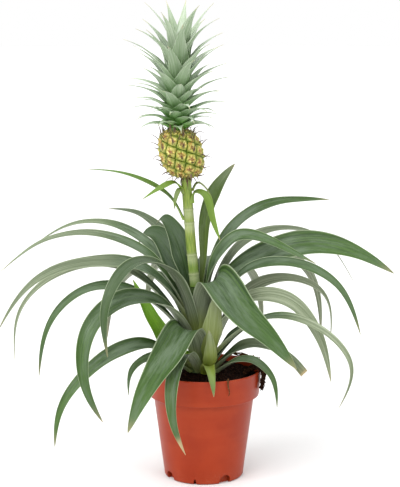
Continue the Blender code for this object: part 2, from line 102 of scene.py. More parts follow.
def closed_quads(rows, ring):
    """All the quads of a closed strip: its sides, its first end and its last end."""
    first, last = end_quads(0, ring), end_quads(rows - 1, ring)
    return np.concatenate([ring_quads(rows, ring), first[:, ::-1], last])


def enclosed(points, quads):
    """Six times the volume inside the quads, positive when they face outwards."""
    a, b, c, d = (points[quads[:, n]] for n in range(4))
    return np.sum(np.cross(a, b) * c) + np.sum(np.cross(a, c) * d)


def as_part(grid, values=None):
    """A closed strip in millimetres as a part: points in metres, quads that face outwards, and values,
    which map an attribute's name to one number for each point."""
    points = grid.reshape(-1, 3) * MM
    quads = closed_quads(*grid.shape[:2])
    return points, quads if enclosed(points, quads) > 0 else quads[:, ::-1], values or {}


def join_parts(parts):
    """Several parts as one."""
    points = np.concatenate([p[0] for p in parts])
    starts = np.cumsum([0] + [len(p[0]) for p in parts[:-1]])
    quads = np.concatenate([p[1] + start for p, start in zip(parts, starts)])
    return points, quads, {key: np.concatenate([p[2][key] for p in parts]) for key in parts[0][2]}


def add_piece(name, part, finish, smooth_angle=50.0):
    """One object from a part. Edges sharper than the angle stay crisp."""
    points, quads, values = part
    mesh = bpy.data.meshes.new(name)
    mesh.from_pydata(points.tolist(), [], quads.tolist())
    for key, numbers in values.items():
        store = mesh.attributes.new(key, "FLOAT", "POINT")
        store.data.foreach_set("value", np.ascontiguousarray(numbers, dtype=np.float32))
    mesh.materials.append(finish)
    mesh.shade_smooth()
    mesh.set_sharp_from_angle(angle=np.radians(smooth_angle))
    made = bpy.data.objects.new(name, mesh)
    bpy.context.scene.collection.objects.link(made)
    return made


def place_on_frame(piece, slot, *nodes):
    """The piece moves with the plant and stands for the CAD nodes, which it hides. slot is not used."""
    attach(piece, "root")
    if nodes:
        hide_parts(*nodes)
    return piece


def unit(vectors):
    """Each vector over its own length."""
    return vectors / np.linalg.norm(vectors, axis=-1, keepdims=True)


def running(steps):
    """The running total of the steps, starting at 0."""
    return np.concatenate([[0.0], np.cumsum(steps)])


def around(count):
    """Angles evenly spaced once round."""
    return np.arange(count) * 2 * np.pi / count


def plan_directions(turn):
    """Two level directions: out at that azimuth in radians, and to its right."""
    return np.array([np.cos(turn), np.sin(turn), 0.0]), np.array([np.sin(turn), -np.cos(turn), 0.0])


def wave(distance, length, phase):
    """A sine of that wavelength."""
    return np.sin(2 * np.pi * distance / length + phase)


def smooth_step(value):
    """0 below 0, 1 above 1, and 3v^2 - 2v^3 between."""
    value = np.clip(value, 0.0, 1.0)
    return value * value * (3 - 2 * value)


print("helpers ready")

# %% [markdown]
# ## Shader helpers
#
# A finish is a small tree of nodes. These few functions add one node each. Nearly every input takes a
# number, a colour or another node's output, so a finish below reads like a recipe.

# %% Shader helpers
def node(tree, kind, *inputs, **settings):
    """Adds a node, sets its settings, and fills its inputs in order with values or links."""
    made = tree.nodes.new(kind)
    for key, value in settings.items():
        setattr(made, key, value)
    for socket, value in zip(made.inputs, inputs):
        fill(tree, socket, value)
    return made


def fill(tree, socket, value):
    """Links another node's output to a socket, or sets the socket's own value."""
    if isinstance(value, bpy.types.NodeSocket):
        tree.links.new(value, socket)
    elif value is not None:
        socket.default_value = (*value, 1.0) if socket.type == "RGBA" and len(value) == 3 else value


def maths(tree, operation, a, b=0.0, clamp=False):
    return node(tree, "ShaderNodeMath", a, b, operation=operation, use_clamp=clamp).outputs[0]


def times(tree, a, b, clamp=False):
    return maths(tree, "MULTIPLY", a, b, clamp)


def between(tree, value, low, high, to_low=0.0, to_high=1.0):
    """A smooth change from to_low to to_high as value goes from low to high."""
    numbers = (value, low, high, to_low, to_high)
    return node(tree, "ShaderNodeMapRange", *numbers, interpolation_type="SMOOTHSTEP").outputs[0]


def blend(tree, share, a, b):
    """Colour a where share is 0 and colour b where it is 1."""
    made = node(tree, "ShaderNodeMix", data_type="RGBA", clamp_factor=True)
    for number, value in ((0, share), (6, a), (7, b)):
        fill(tree, made.inputs[number], value)
    return made.outputs[2]


def noise(tree, vector, scale, detail=3.0, rough=0.55):
    made = node(tree, "ShaderNodeTexNoise", vector)
    for key, value in (("Scale", scale), ("Detail", detail), ("Roughness", rough)):
        made.inputs[key].default_value = value
    return made.outputs[0]


def attribute(tree, name):
    return node(tree, "ShaderNodeAttribute", attribute_name=name).outputs["Fac"]


def vector_of(tree, x, y, z):
    return node(tree, "ShaderNodeCombineXYZ", x, y, z).outputs[0]


def object_place(tree):
    return node(tree, "ShaderNodeTexCoord").outputs["Object"]


def new_group(name, inputs, outputs):
    """An empty node group. inputs maps names to default numbers, or to None for a place, and outputs
    lists the names of numbers. Returns the tree, its given sockets and the sockets to feed."""
    tree = bpy.data.node_groups.new(name, "ShaderNodeTree")
    for key, value in inputs.items():
        kind = "NodeSocketVector" if value is None else "NodeSocketFloat"
        socket = tree.interface.new_socket(key, in_out="INPUT", socket_type=kind)
        if value is not None:
            socket.default_value = value
    for key in outputs:
        tree.interface.new_socket(key, in_out="OUTPUT", socket_type="NodeSocketFloat")
    return tree, node(tree, "NodeGroupInput").outputs, node(tree, "NodeGroupOutput").inputs


def use_group(tree, group, **inputs):
    """Places a group in a material and fills its inputs by name. Returns its outputs."""
    made = node(tree, "ShaderNodeGroup", node_tree=group)
    for key, value in inputs.items():
        fill(tree, made.inputs[key], value)
    return made.outputs


def new_material(name, specular=0.5):
    """A material with its Principled shader. Returns the material and its tree."""
    made = bpy.data.materials.new(name)
    made.use_nodes = True
    made.node_tree.nodes["Principled BSDF"].inputs["Specular IOR Level"].default_value = specular
    return made, made.node_tree


def complete(made, colour, roughness, height=None, relief=0.0, strength=1.0):
    """Feeds a material's shader with its colour, its roughness and a height, in metres of relief."""
    tree = made.node_tree
    sockets = tree.nodes["Principled BSDF"].inputs
    fill(tree, sockets["Base Color"], colour)
    fill(tree, sockets["Roughness"], roughness)
    if height is not None:
        bump = node(tree, "ShaderNodeBump", strength, relief)
        fill(tree, bump.inputs["Height"], height)
        fill(tree, sockets["Normal"], bump.outputs[0])
    return made


print("shader helpers ready")

# %% [markdown]
# ## Four effects shared by several finishes
#
# *Ribs*: a pineapple leaf is stiffened by hundreds of parallel fibres, which show as fine lengthwise
# lines. Noise that is stretched along the leaf gives lines that start and stop as real ones do.
#
# *Bloom*: a grey waxy powder lies on the leaves in long soft patches and rubs off along the edges.
#
# *Zones*: masks for the thin pale margin, the base that other leaves shade, the far half and the tip.
#
# *Grain*: crumbs at three sizes, for peat, roots, the stem's bark and the dust on the pot.

# %% Ribs, bloom, zones and grain
def make_ribs():
    """Lines along the blade: a fine and a coarse noise on (across, 0.006 of the way along, tone)."""
    tree, given, out = new_group("ribs", {"Ribs": 0.0, "Run": 0.0, "Tone": 0.5}, ["Stripe", "Height"])
    place = vector_of(tree, given["Ribs"], times(tree, given["Run"], 0.006), times(tree, given["Tone"], 37.0))
    fine = noise(tree, place, 2.4, 2.0, 0.6)
    coarse = noise(tree, place, 0.9, 1.0, 0.5)
    both = maths(tree, "ADD", times(tree, fine, 0.5), times(tree, coarse, 0.5))
    tree.links.new(between(tree, both, 0.34, 0.66), out["Stripe"])
    tree.links.new(both, out["Height"])
    return tree


def make_bloom():
    """Waxy patches: stretched noise, strongest on the middle of the blade and weaker to its edges."""
    tree, given, out = new_group("bloom", {"Ribs": 0.0, "Run": 0.0, "Tone": 0.5, "Across": 0.0}, ["Mask"])
    place = [times(tree, given[key], scale) for key, scale in (("Ribs", 0.12), ("Run", 0.02), ("Tone", 91.0))]
    patches = noise(tree, vector_of(tree, *place), 1.0, 5.0, 0.68)
    kept = between(tree, maths(tree, "ABSOLUTE", given["Across"]), 0.5, 0.95, 1.0, 0.1)
    tree.links.new(times(tree, between(tree, patches, 0.37, 0.63, 0.12, 1.0), kept), out["Mask"])
    return tree


def make_zones():
    """Masks from a blade's own coordinates: the edges, the first seventh, the far half, the last tenth."""
    tree, given, out = new_group("zones", {"Across": 0.0, "Along": 0.5}, ["Margin", "Base", "Far", "Tip"])
    edge, along = maths(tree, "ABSOLUTE", given["Across"]), given["Along"]
    for key, masked in (("Margin", (edge, 0.9, 0.98)), ("Base", (along, 0.0, 0.14, 1.0, 0.0)),
                        ("Far", (along, 0.35, 0.85)), ("Tip", (along, 0.9, 1.0))):
        tree.links.new(between(tree, *masked), out[key])
    return tree


def make_grain():
    """Crumbs: a coarse, a middle and a fine noise on a place in metres."""
    tree, given, out = new_group("grain", {"Place": None}, ["Light", "Height"])
    coarse, middle, fine = (noise(tree, given["Place"], scale, 3.0, 0.65) for scale in (90.0, 320.0, 1100.0))
    both = maths(tree, "ADD", times(tree, coarse, 0.5), times(tree, middle, 0.5))
    tree.links.new(between(tree, fine, 0.5, 0.72), out["Light"])
    tree.links.new(maths(tree, "ADD", both, times(tree, fine, 0.2)), out["Height"])
    return tree


ribs_group, bloom_group, zones_group, grain_group = make_ribs(), make_bloom(), make_zones(), make_grain()
print("effects:", [g.name for g in (ribs_group, bloom_group, zones_group, grain_group)])

# %% [markdown]
# ## Leaf finish
#
# A pineapple leaf is dark green on its upper side under a grey bloom, paler and greyer underneath,
# thinly edged in pale yellow-green, yellow-green at its base, and dry and straw-coloured at its tip.
# The rosette, one backlit leaf, the stalk bracts and the crown share this recipe, each with its own
# palette; the backlit leaf's bright green is painted light shining through it. The blade's own numbers
# pick the colour: which side a point is on, how far along and across it is, how young or dry the leaf
# is there, and its tone, which darkens it at random, and as painted shade on the leaves deep in the heart.

# %% Leaf finish
Palette = namedtuple("Palette", "dark light fresh bloom bloom_share under under_light margin base dry")


def leaf_finish(name, palette, roughness, relief):
    """Upper side, underside, margin, base and dry tip, laid over each other by masks."""
    made, tree = new_material(name, 0.38)
    across, along = attribute(tree, "across"), attribute(tree, "along")
    lines = dict(Ribs=attribute(tree, "ribs"), Run=attribute(tree, "run"), Tone=attribute(tree, "tone"))
    ribs = use_group(tree, ribs_group, **lines)
    wax = use_group(tree, bloom_group, Across=across, **lines)["Mask"]
    zones = use_group(tree, zones_group, Across=across, Along=along)
    stripe = ribs["Stripe"]
    upper = blend(tree, stripe, palette.dark, palette.light)
    upper = blend(tree, times(tree, zones["Far"], 0.45), upper, palette.fresh)
    full = palette.bloom_share
    waxed = times(tree, wax, between(tree, zones["Far"], 0.0, 1.0, full, 0.6 * full))
    upper = blend(tree, waxed, upper, palette.bloom)
    under = blend(tree, stripe, palette.under, palette.under_light)
    colour = blend(tree, attribute(tree, "under"), upper, under)
    # The tone darkens the colour towards the dark green: a random tone on most leaves, painted shade on the
    # leaves deep in the heart.
    shade = between(tree, lines["Tone"], 0.0, 1.0, 0.0, 0.5)
    colour = blend(tree, shade, colour, palette.dark)
    colour = blend(tree, times(tree, zones["Margin"], 0.6), colour, palette.margin)
    young = maths(tree, "MAXIMUM", times(tree, zones["Base"], 0.55), attribute(tree, "young"))
    colour = blend(tree, young, colour, palette.base)
    dry = maths(tree, "MAXIMUM", attribute(tree, "dry"), times(tree, zones["Tip"], 0.35))
    colour = blend(tree, dry, colour, palette.dry)
    dulled = between(tree, wax, 0.0, 1.0, roughness - 0.06, roughness + 0.1)
    return complete(made, colour, dulled, ribs["Height"], relief)


leaf_green = leaf_finish("leaf_green", Palette(
    dark=(0.008, 0.030, 0.003), light=(0.060, 0.125, 0.016), fresh=(0.060, 0.145, 0.014),
    bloom=(0.165, 0.225, 0.146), bloom_share=0.72,
    under=(0.130, 0.165, 0.085), under_light=(0.330, 0.370, 0.255), margin=(0.420, 0.490, 0.320),
    base=(0.270, 0.340, 0.030), dry=(0.420, 0.330, 0.170)), 0.38, 0.0012)
# Painted light: the backlit leaf's bright, saturated green stands in for the light shining through it.
backlit_painted_green = leaf_finish("backlit_painted_green", Palette(
    dark=(0.090, 0.280, 0.008), light=(0.190, 0.440, 0.020), fresh=(0.220, 0.460, 0.025),
    bloom=(0.300, 0.480, 0.120), bloom_share=0.3,
    under=(0.160, 0.360, 0.020), under_light=(0.300, 0.480, 0.080), margin=(0.420, 0.520, 0.220),
    base=(0.260, 0.460, 0.020), dry=(0.420, 0.330, 0.170)), 0.38, 0.0012)
bract_green = leaf_finish("bract_green", Palette(
    dark=(0.030, 0.090, 0.005), light=(0.075, 0.165, 0.014), fresh=(0.085, 0.190, 0.014),
    bloom=(0.180, 0.260, 0.090), bloom_share=0.35,
    under=(0.120, 0.210, 0.035), under_light=(0.220, 0.310, 0.090), margin=(0.260, 0.350, 0.110),
    base=(0.230, 0.340, 0.030), dry=(0.330, 0.240, 0.120)), 0.40, 0.0005)
crown_green = leaf_finish("crown_green", Palette(
    dark=(0.100, 0.180, 0.065), light=(0.320, 0.420, 0.250), fresh=(0.660, 0.740, 0.580),
    bloom=(0.720, 0.790, 0.700), bloom_share=0.95,
    under=(0.290, 0.390, 0.240), under_light=(0.540, 0.620, 0.480), margin=(0.600, 0.660, 0.520),
    base=(0.085, 0.290, 0.006), dry=(0.540, 0.500, 0.330)), 0.46, 0.0009)
print("leaf finishes:", [made.name for made in (leaf_green, backlit_painted_green, bract_green, crown_green)])

# %% [markdown]
# ## A leaf blade
#
# The midrib is a smooth curve through a few points. Across it, the blade is an arc of a circle: bent
# deep around the stem at its base, a shallow channel further out. The blade also rolls about its
# midrib to face the light, its edges ripple a little, and it is thickest in the middle. The same
# function makes the leaves of the rosette and of the crown, and all the bracts.

# %% Blade surface
def smooth_curve(points, count):
    """count points on the natural cubic spline through the given points, evenly spaced along its chords."""
    points = np.asarray(points, float)
    steps = np.linalg.norm(np.diff(points, axis=0), axis=1)
    knots = running(steps)
    n = len(points)
    system = np.eye(n)
    right = np.zeros_like(points)
    for i in range(1, n - 1):
        before, after = steps[i - 1], steps[i]
        system[i, i - 1 : i + 2] = before, 2.0 * (before + after), after
        right[i] = 6.0 * ((points[i + 1] - points[i]) / after - (points[i] - points[i - 1]) / before)
    bend = np.linalg.solve(system, right)
    at = np.linspace(0.0, knots[-1], count)
    span = np.clip(np.searchsorted(knots, at, side="right") - 1, 0, n - 2)
    width = steps[span][:, None]
    left = (knots[span + 1] - at)[:, None]
    past = (at - knots[span])[:, None]
    curve = bend[span] * left**3 / (6 * width) + bend[span + 1] * past**3 / (6 * width)
    curve += (points[span] / width - bend[span] * width / 6) * left
    curve += (points[span + 1] / width - bend[span + 1] * width / 6) * past
    return curve


def blade(path, across, half_width, half_turn, thickness, ripple, across_count):
    """A closed blade along a path in millimetres. At station s and place c from -1 to 1 across, the
    upper side is path + side * w sin(a c) / a + upper * w (1 - cos(a c)) / a, with w the half width and
    a the half turn of its arc, plus a ripple that grows with c squared. The lower side lies one
    thickness below it, thinning towards both edges. Returns points as rows by ring by three, and c."""
    along = unit(np.gradient(path, axis=0))
    side = unit(across - along * np.sum(across * along, axis=1, keepdims=True))
    upper = np.cross(side, along)
    c = np.linspace(-1.0, 1.0, across_count)
    w, a = half_width[:, None], half_turn[:, None]
    sideways = w * np.sin(a * c) / a
    lift = w * (1 - np.cos(a * c)) / a + ripple * c**2
    top = path[:, None] + side[:, None] * sideways[..., None] + upper[:, None] * lift[..., None]
    facing = upper[:, None] * np.cos(a * c)[..., None] - side[:, None] * np.sin(a * c)[..., None]
    depth = thickness[:, None] * (0.25 + 0.75 * (1 - c**2))
    low = top - facing * depth[..., None]
    return np.concatenate([top, low[:, ::-1]], axis=1), np.concatenate([c, c[::-1]])


def blade_values(points, c, half_width, tone, young, dry):
    """The numbers that the leaf finish reads, one for each point of a blade."""
    rows, ring = points.shape[:2]
    middle = points[:, ring // 4]
    run = running(np.linalg.norm(np.diff(middle, axis=0), axis=1))
    by_row = lambda numbers: np.repeat(np.broadcast_to(numbers, rows), ring)
    return {
        "across": np.tile(c, rows), "along": by_row(run / run[-1]), "ribs": (half_width[:, None] * c).ravel(),
        "run": by_row(run), "under": np.tile(np.repeat([0.0, 1.0], ring // 2), rows),
        "tone": by_row(tone), "young": by_row(young), "dry": by_row(dry),
    }


print("blade surface ready")

# %% [markdown]
# ## The rosette
#
# Thirty-seven leaves grow from the short stem in the pot. Each row gives a leaf's azimuth, the height
# of its root on the stem, the points that its midrib passes through as reach and height, its width,
# and how far it rolls its upper side towards the front. A longer row goes on with how far the tip
# swings sideways, how deeply the blade is cupped, and how wide its end is. These are the frame's
# own rows, in millimetres and degrees. What a rigid frame leaves out is added here: bases that clasp
# the stem, a thin flexible blade, a slow twist and rippled edges.

# %% Leaf rows
Leaf = namedtuple("Leaf", "name azimuth root route width roll swing cup tip", defaults=(0, 0, 0.16, 0.04))

ROSETTE = [Leaf("leaf_" + name, *row) for name, *row in (
    ("front_short", -82, 110, ((32, 123), (54, 126), (64, 119), (67, 101)), 12, 0, 0, 0.1),
    ("rim_right", -30, 109, ((57, 129), (80, 115), (88, 84)), 10, 30),
    ("low_left_dark", 188, 110, ((51, 127), (72, 116), (78, 87)), 12, 30),
    ("front_pot", 247, 113, ((50, 140), (90, 124), (106, 92), (96, 50)), 16, 0, -22),
    ("low_right_cut", -12, 113, ((48, 141), (82, 135), (106, 113)), 14, 35, 0, 0.12, 0.7),
    ("front_upright", -70, 114, ((27, 128), (34, 146), (38, 163)), 15, 0, 8, 0.2),
    ("low_left", 203, 117, ((69, 145), (125, 123), (158, 80), (163, 48)), 16, 45),
    ("back_low_right", 22, 118, ((42, 150), (62, 156), (78, 148)), 11, 20),
    ("sucker", -65, 121, ((26, 158), (32, 190), (38, 205)), 23, 0, 0, 0.15),
    ("front_big", 243, 122, ((38, 163), (74, 146), (120, 118), (157, 86)), 32, 18, 0, 0.16),
    ("back_far", 96, 126, ((45, 180), (95, 190), (140, 160), (158, 112)), 18),
    ("right_twist", -33, 127, ((77, 177), (140, 173), (174, 141), (162, 96)), 10, 30),
    ("right_mid", 14, 130, ((51, 194), (100, 203), (133, 183), (140, 135)), 14, 35),
    ("left_wide_arch", 219, 132, ((42, 182), (95, 200), (140, 180), (149, 125), (126, 78)), 22, 35),
    ("back_left_low", 132, 134, ((48, 190), (100, 200), (140, 170), (155, 118)), 17),
    ("right_pale", -26, 136, ((53, 192), (97, 195), (130, 163), (145, 115)), 18, 40),
    ("left_hook", 198, 142, ((72, 200), (122, 205), (158, 176), (172, 118)), 15, 40),
    ("left_under", 176, 143, ((84, 220), (150, 210), (190, 168), (196, 118)), 13, 30),
    ("back_right_low", 64, 143, ((48, 194), (100, 202), (142, 172), (160, 120)), 17),
    ("backlit", 206, 126, ((40, 143), (54, 166), (67, 191), (78, 215)), 20, 65),
    ("right_drop", 42, 148, ((62, 214), (117, 220), (168, 180), (180, 118)), 14, -35),
    ("front_left_arch", 226, 150, ((44, 222), (94, 237), (131, 206), (132, 150)), 20, 15),
    ("right_hook", -20, 152, ((52, 222), (98, 232), (148, 211), (171, 163)), 15, 45),
    ("back_middle", 112, 154, ((44, 205), (92, 214), (136, 188), (156, 140)), 18),
    ("front_right_big", -57, 156, ((30, 213), (70, 193), (122, 172), (170, 150)), 34, 38, 0, 0.16),
    ("left_long_low", 184, 160, ((58, 220), (111, 227), (167, 209), (209, 154)), 15, 40),
    ("back_right_thin", 30, 162, ((48, 238), (99, 252), (155, 234), (195, 185)), 12, 20),
    ("left_long", 168, 164, ((50, 228), (112, 251), (165, 242), (214, 207)), 12, 30),
    ("right_big", 5, 173, ((36, 216), (74, 236), (115, 244), (157, 236), (205, 210)), 27, 60),
    ("back_short", 82, 171, ((30, 212), (66, 220), (100, 202)), 15),
    ("left_high", 149, 176, ((56, 236), (124, 257), (176, 243), (210, 222)), 11, 30),
    ("right_short", -8, 178, ((28, 243), (42, 254), (62, 254), (90, 243), (122, 228)), 15, 45),
    ("back_left_broad", 137, 180, ((34, 230), (58, 248), (76, 246), (86, 229)), 28, 40),
    ("right_high", 33, 183, ((32, 246), (73, 274), (120, 280), (170, 276)), 13, 35, 0, 0.2),
    ("heart_left", 126, 174, ((34, 222), (78, 254), (120, 262), (168, 259)), 12, 20),
    ("heart_back", 132, 192, ((20, 236), (36, 258), (50, 265), (64, 258)), 24, 40),
    ("heart_upright", 46, 192, ((11, 236), (12, 268), (30, 300), (60, 322)), 14, 40),
)]

BRACTS = [Leaf("bract_" + name, *row) for name, *row in (
    ("left_long", 177, 270, ((18, 292), (42, 309), (72, 319), (106, 322)), 6, 25, 0, 0.2),
    ("clasping", -14, 288, ((8, 299), (14, 299), (24, 280), (34, 250)), 8, 45, 0, 0.1),
    ("right_thin", 12, 300, ((11, 308), (20, 302), (28, 282)), 4.5, 20, 0, 0.2),
    ("left_bright", 200, 302, ((12, 309), (24, 307), (48, 294)), 6, 30, 0, 0.2),
    ("left_dark", 222, 298, ((9, 303), (15, 296), (18, 283)), 4.5, 20, 0, 0.2),
)]

STEM_FOOT_HEIGHT, STEM_TOP_HEIGHT = 88.0, 200.0
STEM_FOOT_RADIUS, STEM_TOP_RADIUS, STEM_LEAN = 14.0, 6.5, 9.0
STALK_ROUTE = ((-9.0, 0.0, 200.9), (-11.5, 0.0, 225.0), (-15.0, 0.0, 268.0), (-18.4, 0.0, 315.4))
STALK_RADIUS = 5.3
ROOT_GAP = 0.8
print(len(ROSETTE), "rosette leaves and", len(BRACTS), "bracts")

# %% [markdown]
# The stem leans towards -X as it rises, so each leaf starts from where the stem's axis is at the height
# of its root. A leaf's path lies in the upright plane of its azimuth, and then swings, wanders and rolls.

# %% Leaf paths
def stem_share(height):
    return np.clip((height - STEM_FOOT_HEIGHT) / (STEM_TOP_HEIGHT - STEM_FOOT_HEIGHT), 0.0, 1.0)


def stem_middle(height):
    return np.array([-STEM_LEAN * stem_share(height) ** 1.5, 0.0])


def stem_radius(height):
    return STEM_FOOT_RADIUS + (STEM_TOP_RADIUS - STEM_FOOT_RADIUS) * stem_share(height)


def stalk_middle(height):
    route = np.array(STALK_ROUTE)
    return np.array([np.interp(height, route[:, 2], route[:, 0]), 0.0])


def leaf_path(leaf, middle, radius, count, draws):
    """The midrib, the direction across the blade, and each station's share of the length. The roll
    comes in over the first half."""
    out, side = plan_directions(np.radians(leaf.azimuth))
    flat = smooth_curve([(radius + ROOT_GAP, leaf.root), *leaf.route], count)
    share = np.linspace(0.0, 1.0, count)
    wander = draws[0] * share * wave(share, 1.3, draws[1])
    path = out * flat[:, :1] + side * (leaf.swing * share**2 + wander)[:, None]
    path[:, 2] = flat[:, 1]
    path[:, :2] += middle
    along = unit(np.gradient(path, axis=0))
    roll = np.sign(out[0]) * np.radians(leaf.roll) * smooth_step(share / 0.45)
    roll = (roll + draws[2] * share * wave(share, 0.9, draws[3]))[:, None]
    return path, side * np.cos(roll) + np.cross(along, side) * np.sin(roll), share


print("first leaf starts at", stem_middle(110.0).round(2), "with stem radius", round(stem_radius(110.0), 1))

# %% [markdown]
# Most leaves start four fifths as wide as they get, where they clasp the stem, are at their widest two
# fifths of the way along, and then taper to a fine point. The blunt one was cut back with scissors.

# %% Make the rosette
LEAF_STATIONS, BLADE_ACROSS = 76, 15
BLADE_SPREAD, BRACT_SPREAD = 1.14, 1.25
RIPPLE_LENGTHS, LEAF_RUN = (71, 62), 260
# The tone of the leaves deep in the heart: painted shade that darkens them nearly halfway to the dark green.
HEART_PAINTED_SHADE_TONE = 0.95

# How young and yellow-green a leaf is at its base.
YOUNG = {"sucker": 0.75, "front_short": 1.0, "front_upright": 1.0, "backlit": 0.4, "heart_upright": 0.25}
# Where a tip starts to be dry and where it is wholly dry.
DRY_TIPS = {"front_pot": (0.86, 0.93), "low_right_cut": (0.965, 0.99), "left_wide_arch": (0.97, 1.0)}
# The width at the base, where the widest part starts, and the share of the full width.
SHAPES = {"right_big": (0.45, 0.62), "sucker": (0.6, 0.4), "heart_upright": (0.35, 0.8),
          "right_high": (0.6, 0.65), "front_right_big": (0.8, 0.3), "right_hook": (0.7, 0.6, 0.82),
          "left_hook": (0.8, 0.45, 0.85), "right_mid": (0.8, 0.5)}
# How much of the pale underside's look the upper side takes, and from where along the leaf.
PALE = {"right_pale": (0.9, 0.0), "right_mid": (1.0, 0.1), "left_under": (0.9, 0.3), "heart_left": (0.6, 0.3),
        "low_right_cut": (0.6, 0.3), "right_twist": (0.9, 0.45), "right_drop": (0.5, 0.0),
        "back_right_thin": (0.8, 0.0), "sucker": (0.5, 0.0), "left_long_low": (0.8, 0.4),
        "left_long": (0.7, 0.5), "left_high": (0.6, 0.55), "front_left_arch": (0.2, 0.0),
        "heart_upright": (0.5, 0.8)}
# The leaves deep in the heart, whose colour is darkened towards the dark green as painted shade.
DEEP = ("heart_back", "heart_left", "back_left_broad", "front_left_arch")
HUES = np.random.default_rng(7)


def leaf_width(share, end, clasp, peak=0.38, full=1.0):
    """Half the width along a leaf as a share of the full half width. The widest part starts at peak."""
    rise = clasp + (1.0 - clasp) * smooth_step(share / peak)
    fall = np.clip((1.0 - share) / min(0.58, 1.1 - peak), 0.0, 1.0) ** 0.72
    return full * np.maximum(rise * fall, end)


def rosette_leaf(leaf):
    """A leaf that clasps the stem, arches along its route and ripples by a different wave on each edge."""
    draws = HUES.uniform(size=8)
    name = leaf.name.removeprefix("leaf_")
    motion = (2.5 * draws[0], 6.3 * draws[1], 0.22 * draws[2], 6.3 * draws[3])
    middle, radius = stem_middle(leaf.root), stem_radius(leaf.root)
    path, across, share = leaf_path(leaf, middle, radius, LEAF_STATIONS, motion)
    end = leaf.tip if leaf.tip > 0.5 else 0.35 * leaf.tip
    half = BLADE_SPREAD * leaf.width / 2 * leaf_width(share, end, *SHAPES.get(name, (0.82, 0.38)))
    turn = 0.5 + 0.75 * np.exp(-share / 0.14) + leaf.cup
    thick = 0.35 + 1.1 * (1 - share) ** 1.4
    edges = [wave(share * LEAF_RUN, RIPPLE_LENGTHS[k], 6.3 * draws[5 - k]) * 0.05 * half for k in (0, 1)]
    right = np.linspace(-1, 1, BLADE_ACROSS) > 0
    ripple = np.where(right, edges[1][:, None], edges[0][:, None]) * smooth_step(share / 0.3)[:, None]
    grid, c = blade(path, across, half, turn, thick, ripple, BLADE_ACROSS)
    start, full = DRY_TIPS.get(name, (0.97, 1.02))
    dry = smooth_step((share - start) / (full - start))
    # Painted shade on the leaves deep in the heart; a random tone on the rest.
    tone = HEART_PAINTED_SHADE_TONE if name in DEEP else 0.05 + 0.55 * draws[6]
    values = blade_values(grid, c, half, tone, YOUNG.get(name, 0.0) * (1.1 - share), dry)
    most, start = PALE.get(name, (0.0, 0.0))
    values["under"] = np.maximum(values["under"], most * smooth_step((values["along"] - start) / 0.2 + 0.5))
    # The backlit leaf takes the bright green that is painted light shining through it.
    finish = backlit_painted_green if name == "backlit" else leaf_green
    return place_on_frame(add_piece(leaf.name + "_blade", as_part(grid, values), finish), "leaf", leaf.name)


rosette = [rosette_leaf(leaf) for leaf in ROSETTE]
print("rosette:", sum(len(p.data.polygons) for p in rosette), "faces")

# %% [markdown]
# ## Stem and stalk
#
# A stubby stem inside the rosette tapers from 14 mm radius in the peat to 6.5 mm under the stalk, and
# shows a ring wherever a leaf has fallen. The flower stalk is 10.6 mm thick. Below each of its nodes
# lies a band of white powder, and the skin is streaked along its length.

# %% Stem and stalk surfaces
def tube(path, radii, ring=20, level=(0.0, 1.0, 0.0)):
    """Rings round a path: path + r (side cos t + up sin t), with side square to the path and to level.
    radii is one number, or one row of numbers, for each station."""
    along = unit(np.gradient(path, axis=0))
    side = unit(np.cross(along, level))
    up = np.cross(side, along)
    t = around(ring)
    spokes = side[:, None] * np.cos(t)[:, None] + up[:, None] * np.sin(t)[:, None]
    return path[:, None] + spokes * np.reshape(radii, (len(path), -1, 1))


NODE_HEIGHTS = (214.0, 234.0, 267.0, 281.0)


def make_stalk(finish, stations=220, ring=40):
    """A fluted rod with a ridge at each node. A scar lies just above the ridge, and the powder is
    thickest 4 mm below it."""
    path = smooth_curve(STALK_ROUTE, stations)
    z = path[:, 2]
    past = z[:, None] - np.array(NODE_HEIGHTS)
    ridge = np.exp(-((past / 1.1) ** 2)).sum(axis=1)
    powder = (np.exp(-((past + 4.0) / 5.5) ** 2) + 0.8 * np.exp(-(past / 0.8) ** 2)).max(axis=1)
    scar = np.exp(-(((past - 1.3) / 0.7) ** 2)).sum(axis=1)
    t = around(ring)
    flutes = 0.02 * np.cos(5 * t + z[:, None] / 24) + 0.012 * np.cos(11 * t - z[:, None] / 31)
    radii = STALK_RADIUS * (0.97 + 0.06 * ridge[:, None] + flutes)
    by_row = {"powder": powder, "scar": scar, "run": z, "low": smooth_step((250 - z) / 50)}
    values = {key: np.repeat(numbers, ring) for key, numbers in by_row.items()}
    values["turn"] = np.tile(STALK_RADIUS * t, stations)
    return add_piece("flower_stalk_skin", as_part(tube(path, radii, ring), values), finish)


def make_stem(finish):
    """The tapered stem with a ring at every leaf scar, 6 mm apart."""
    z = np.linspace(STEM_FOOT_HEIGHT, STEM_TOP_HEIGHT, 150)
    path = np.stack([-STEM_LEAN * stem_share(z) ** 1.5, 0 * z, z], axis=1)
    radii = stem_radius(z) - 0.25 + 0.35 * np.abs(wave(z, 12.0, 0.0)) ** 0.4
    return add_piece("plant_stem_bark", as_part(tube(path, radii, 40)), finish)


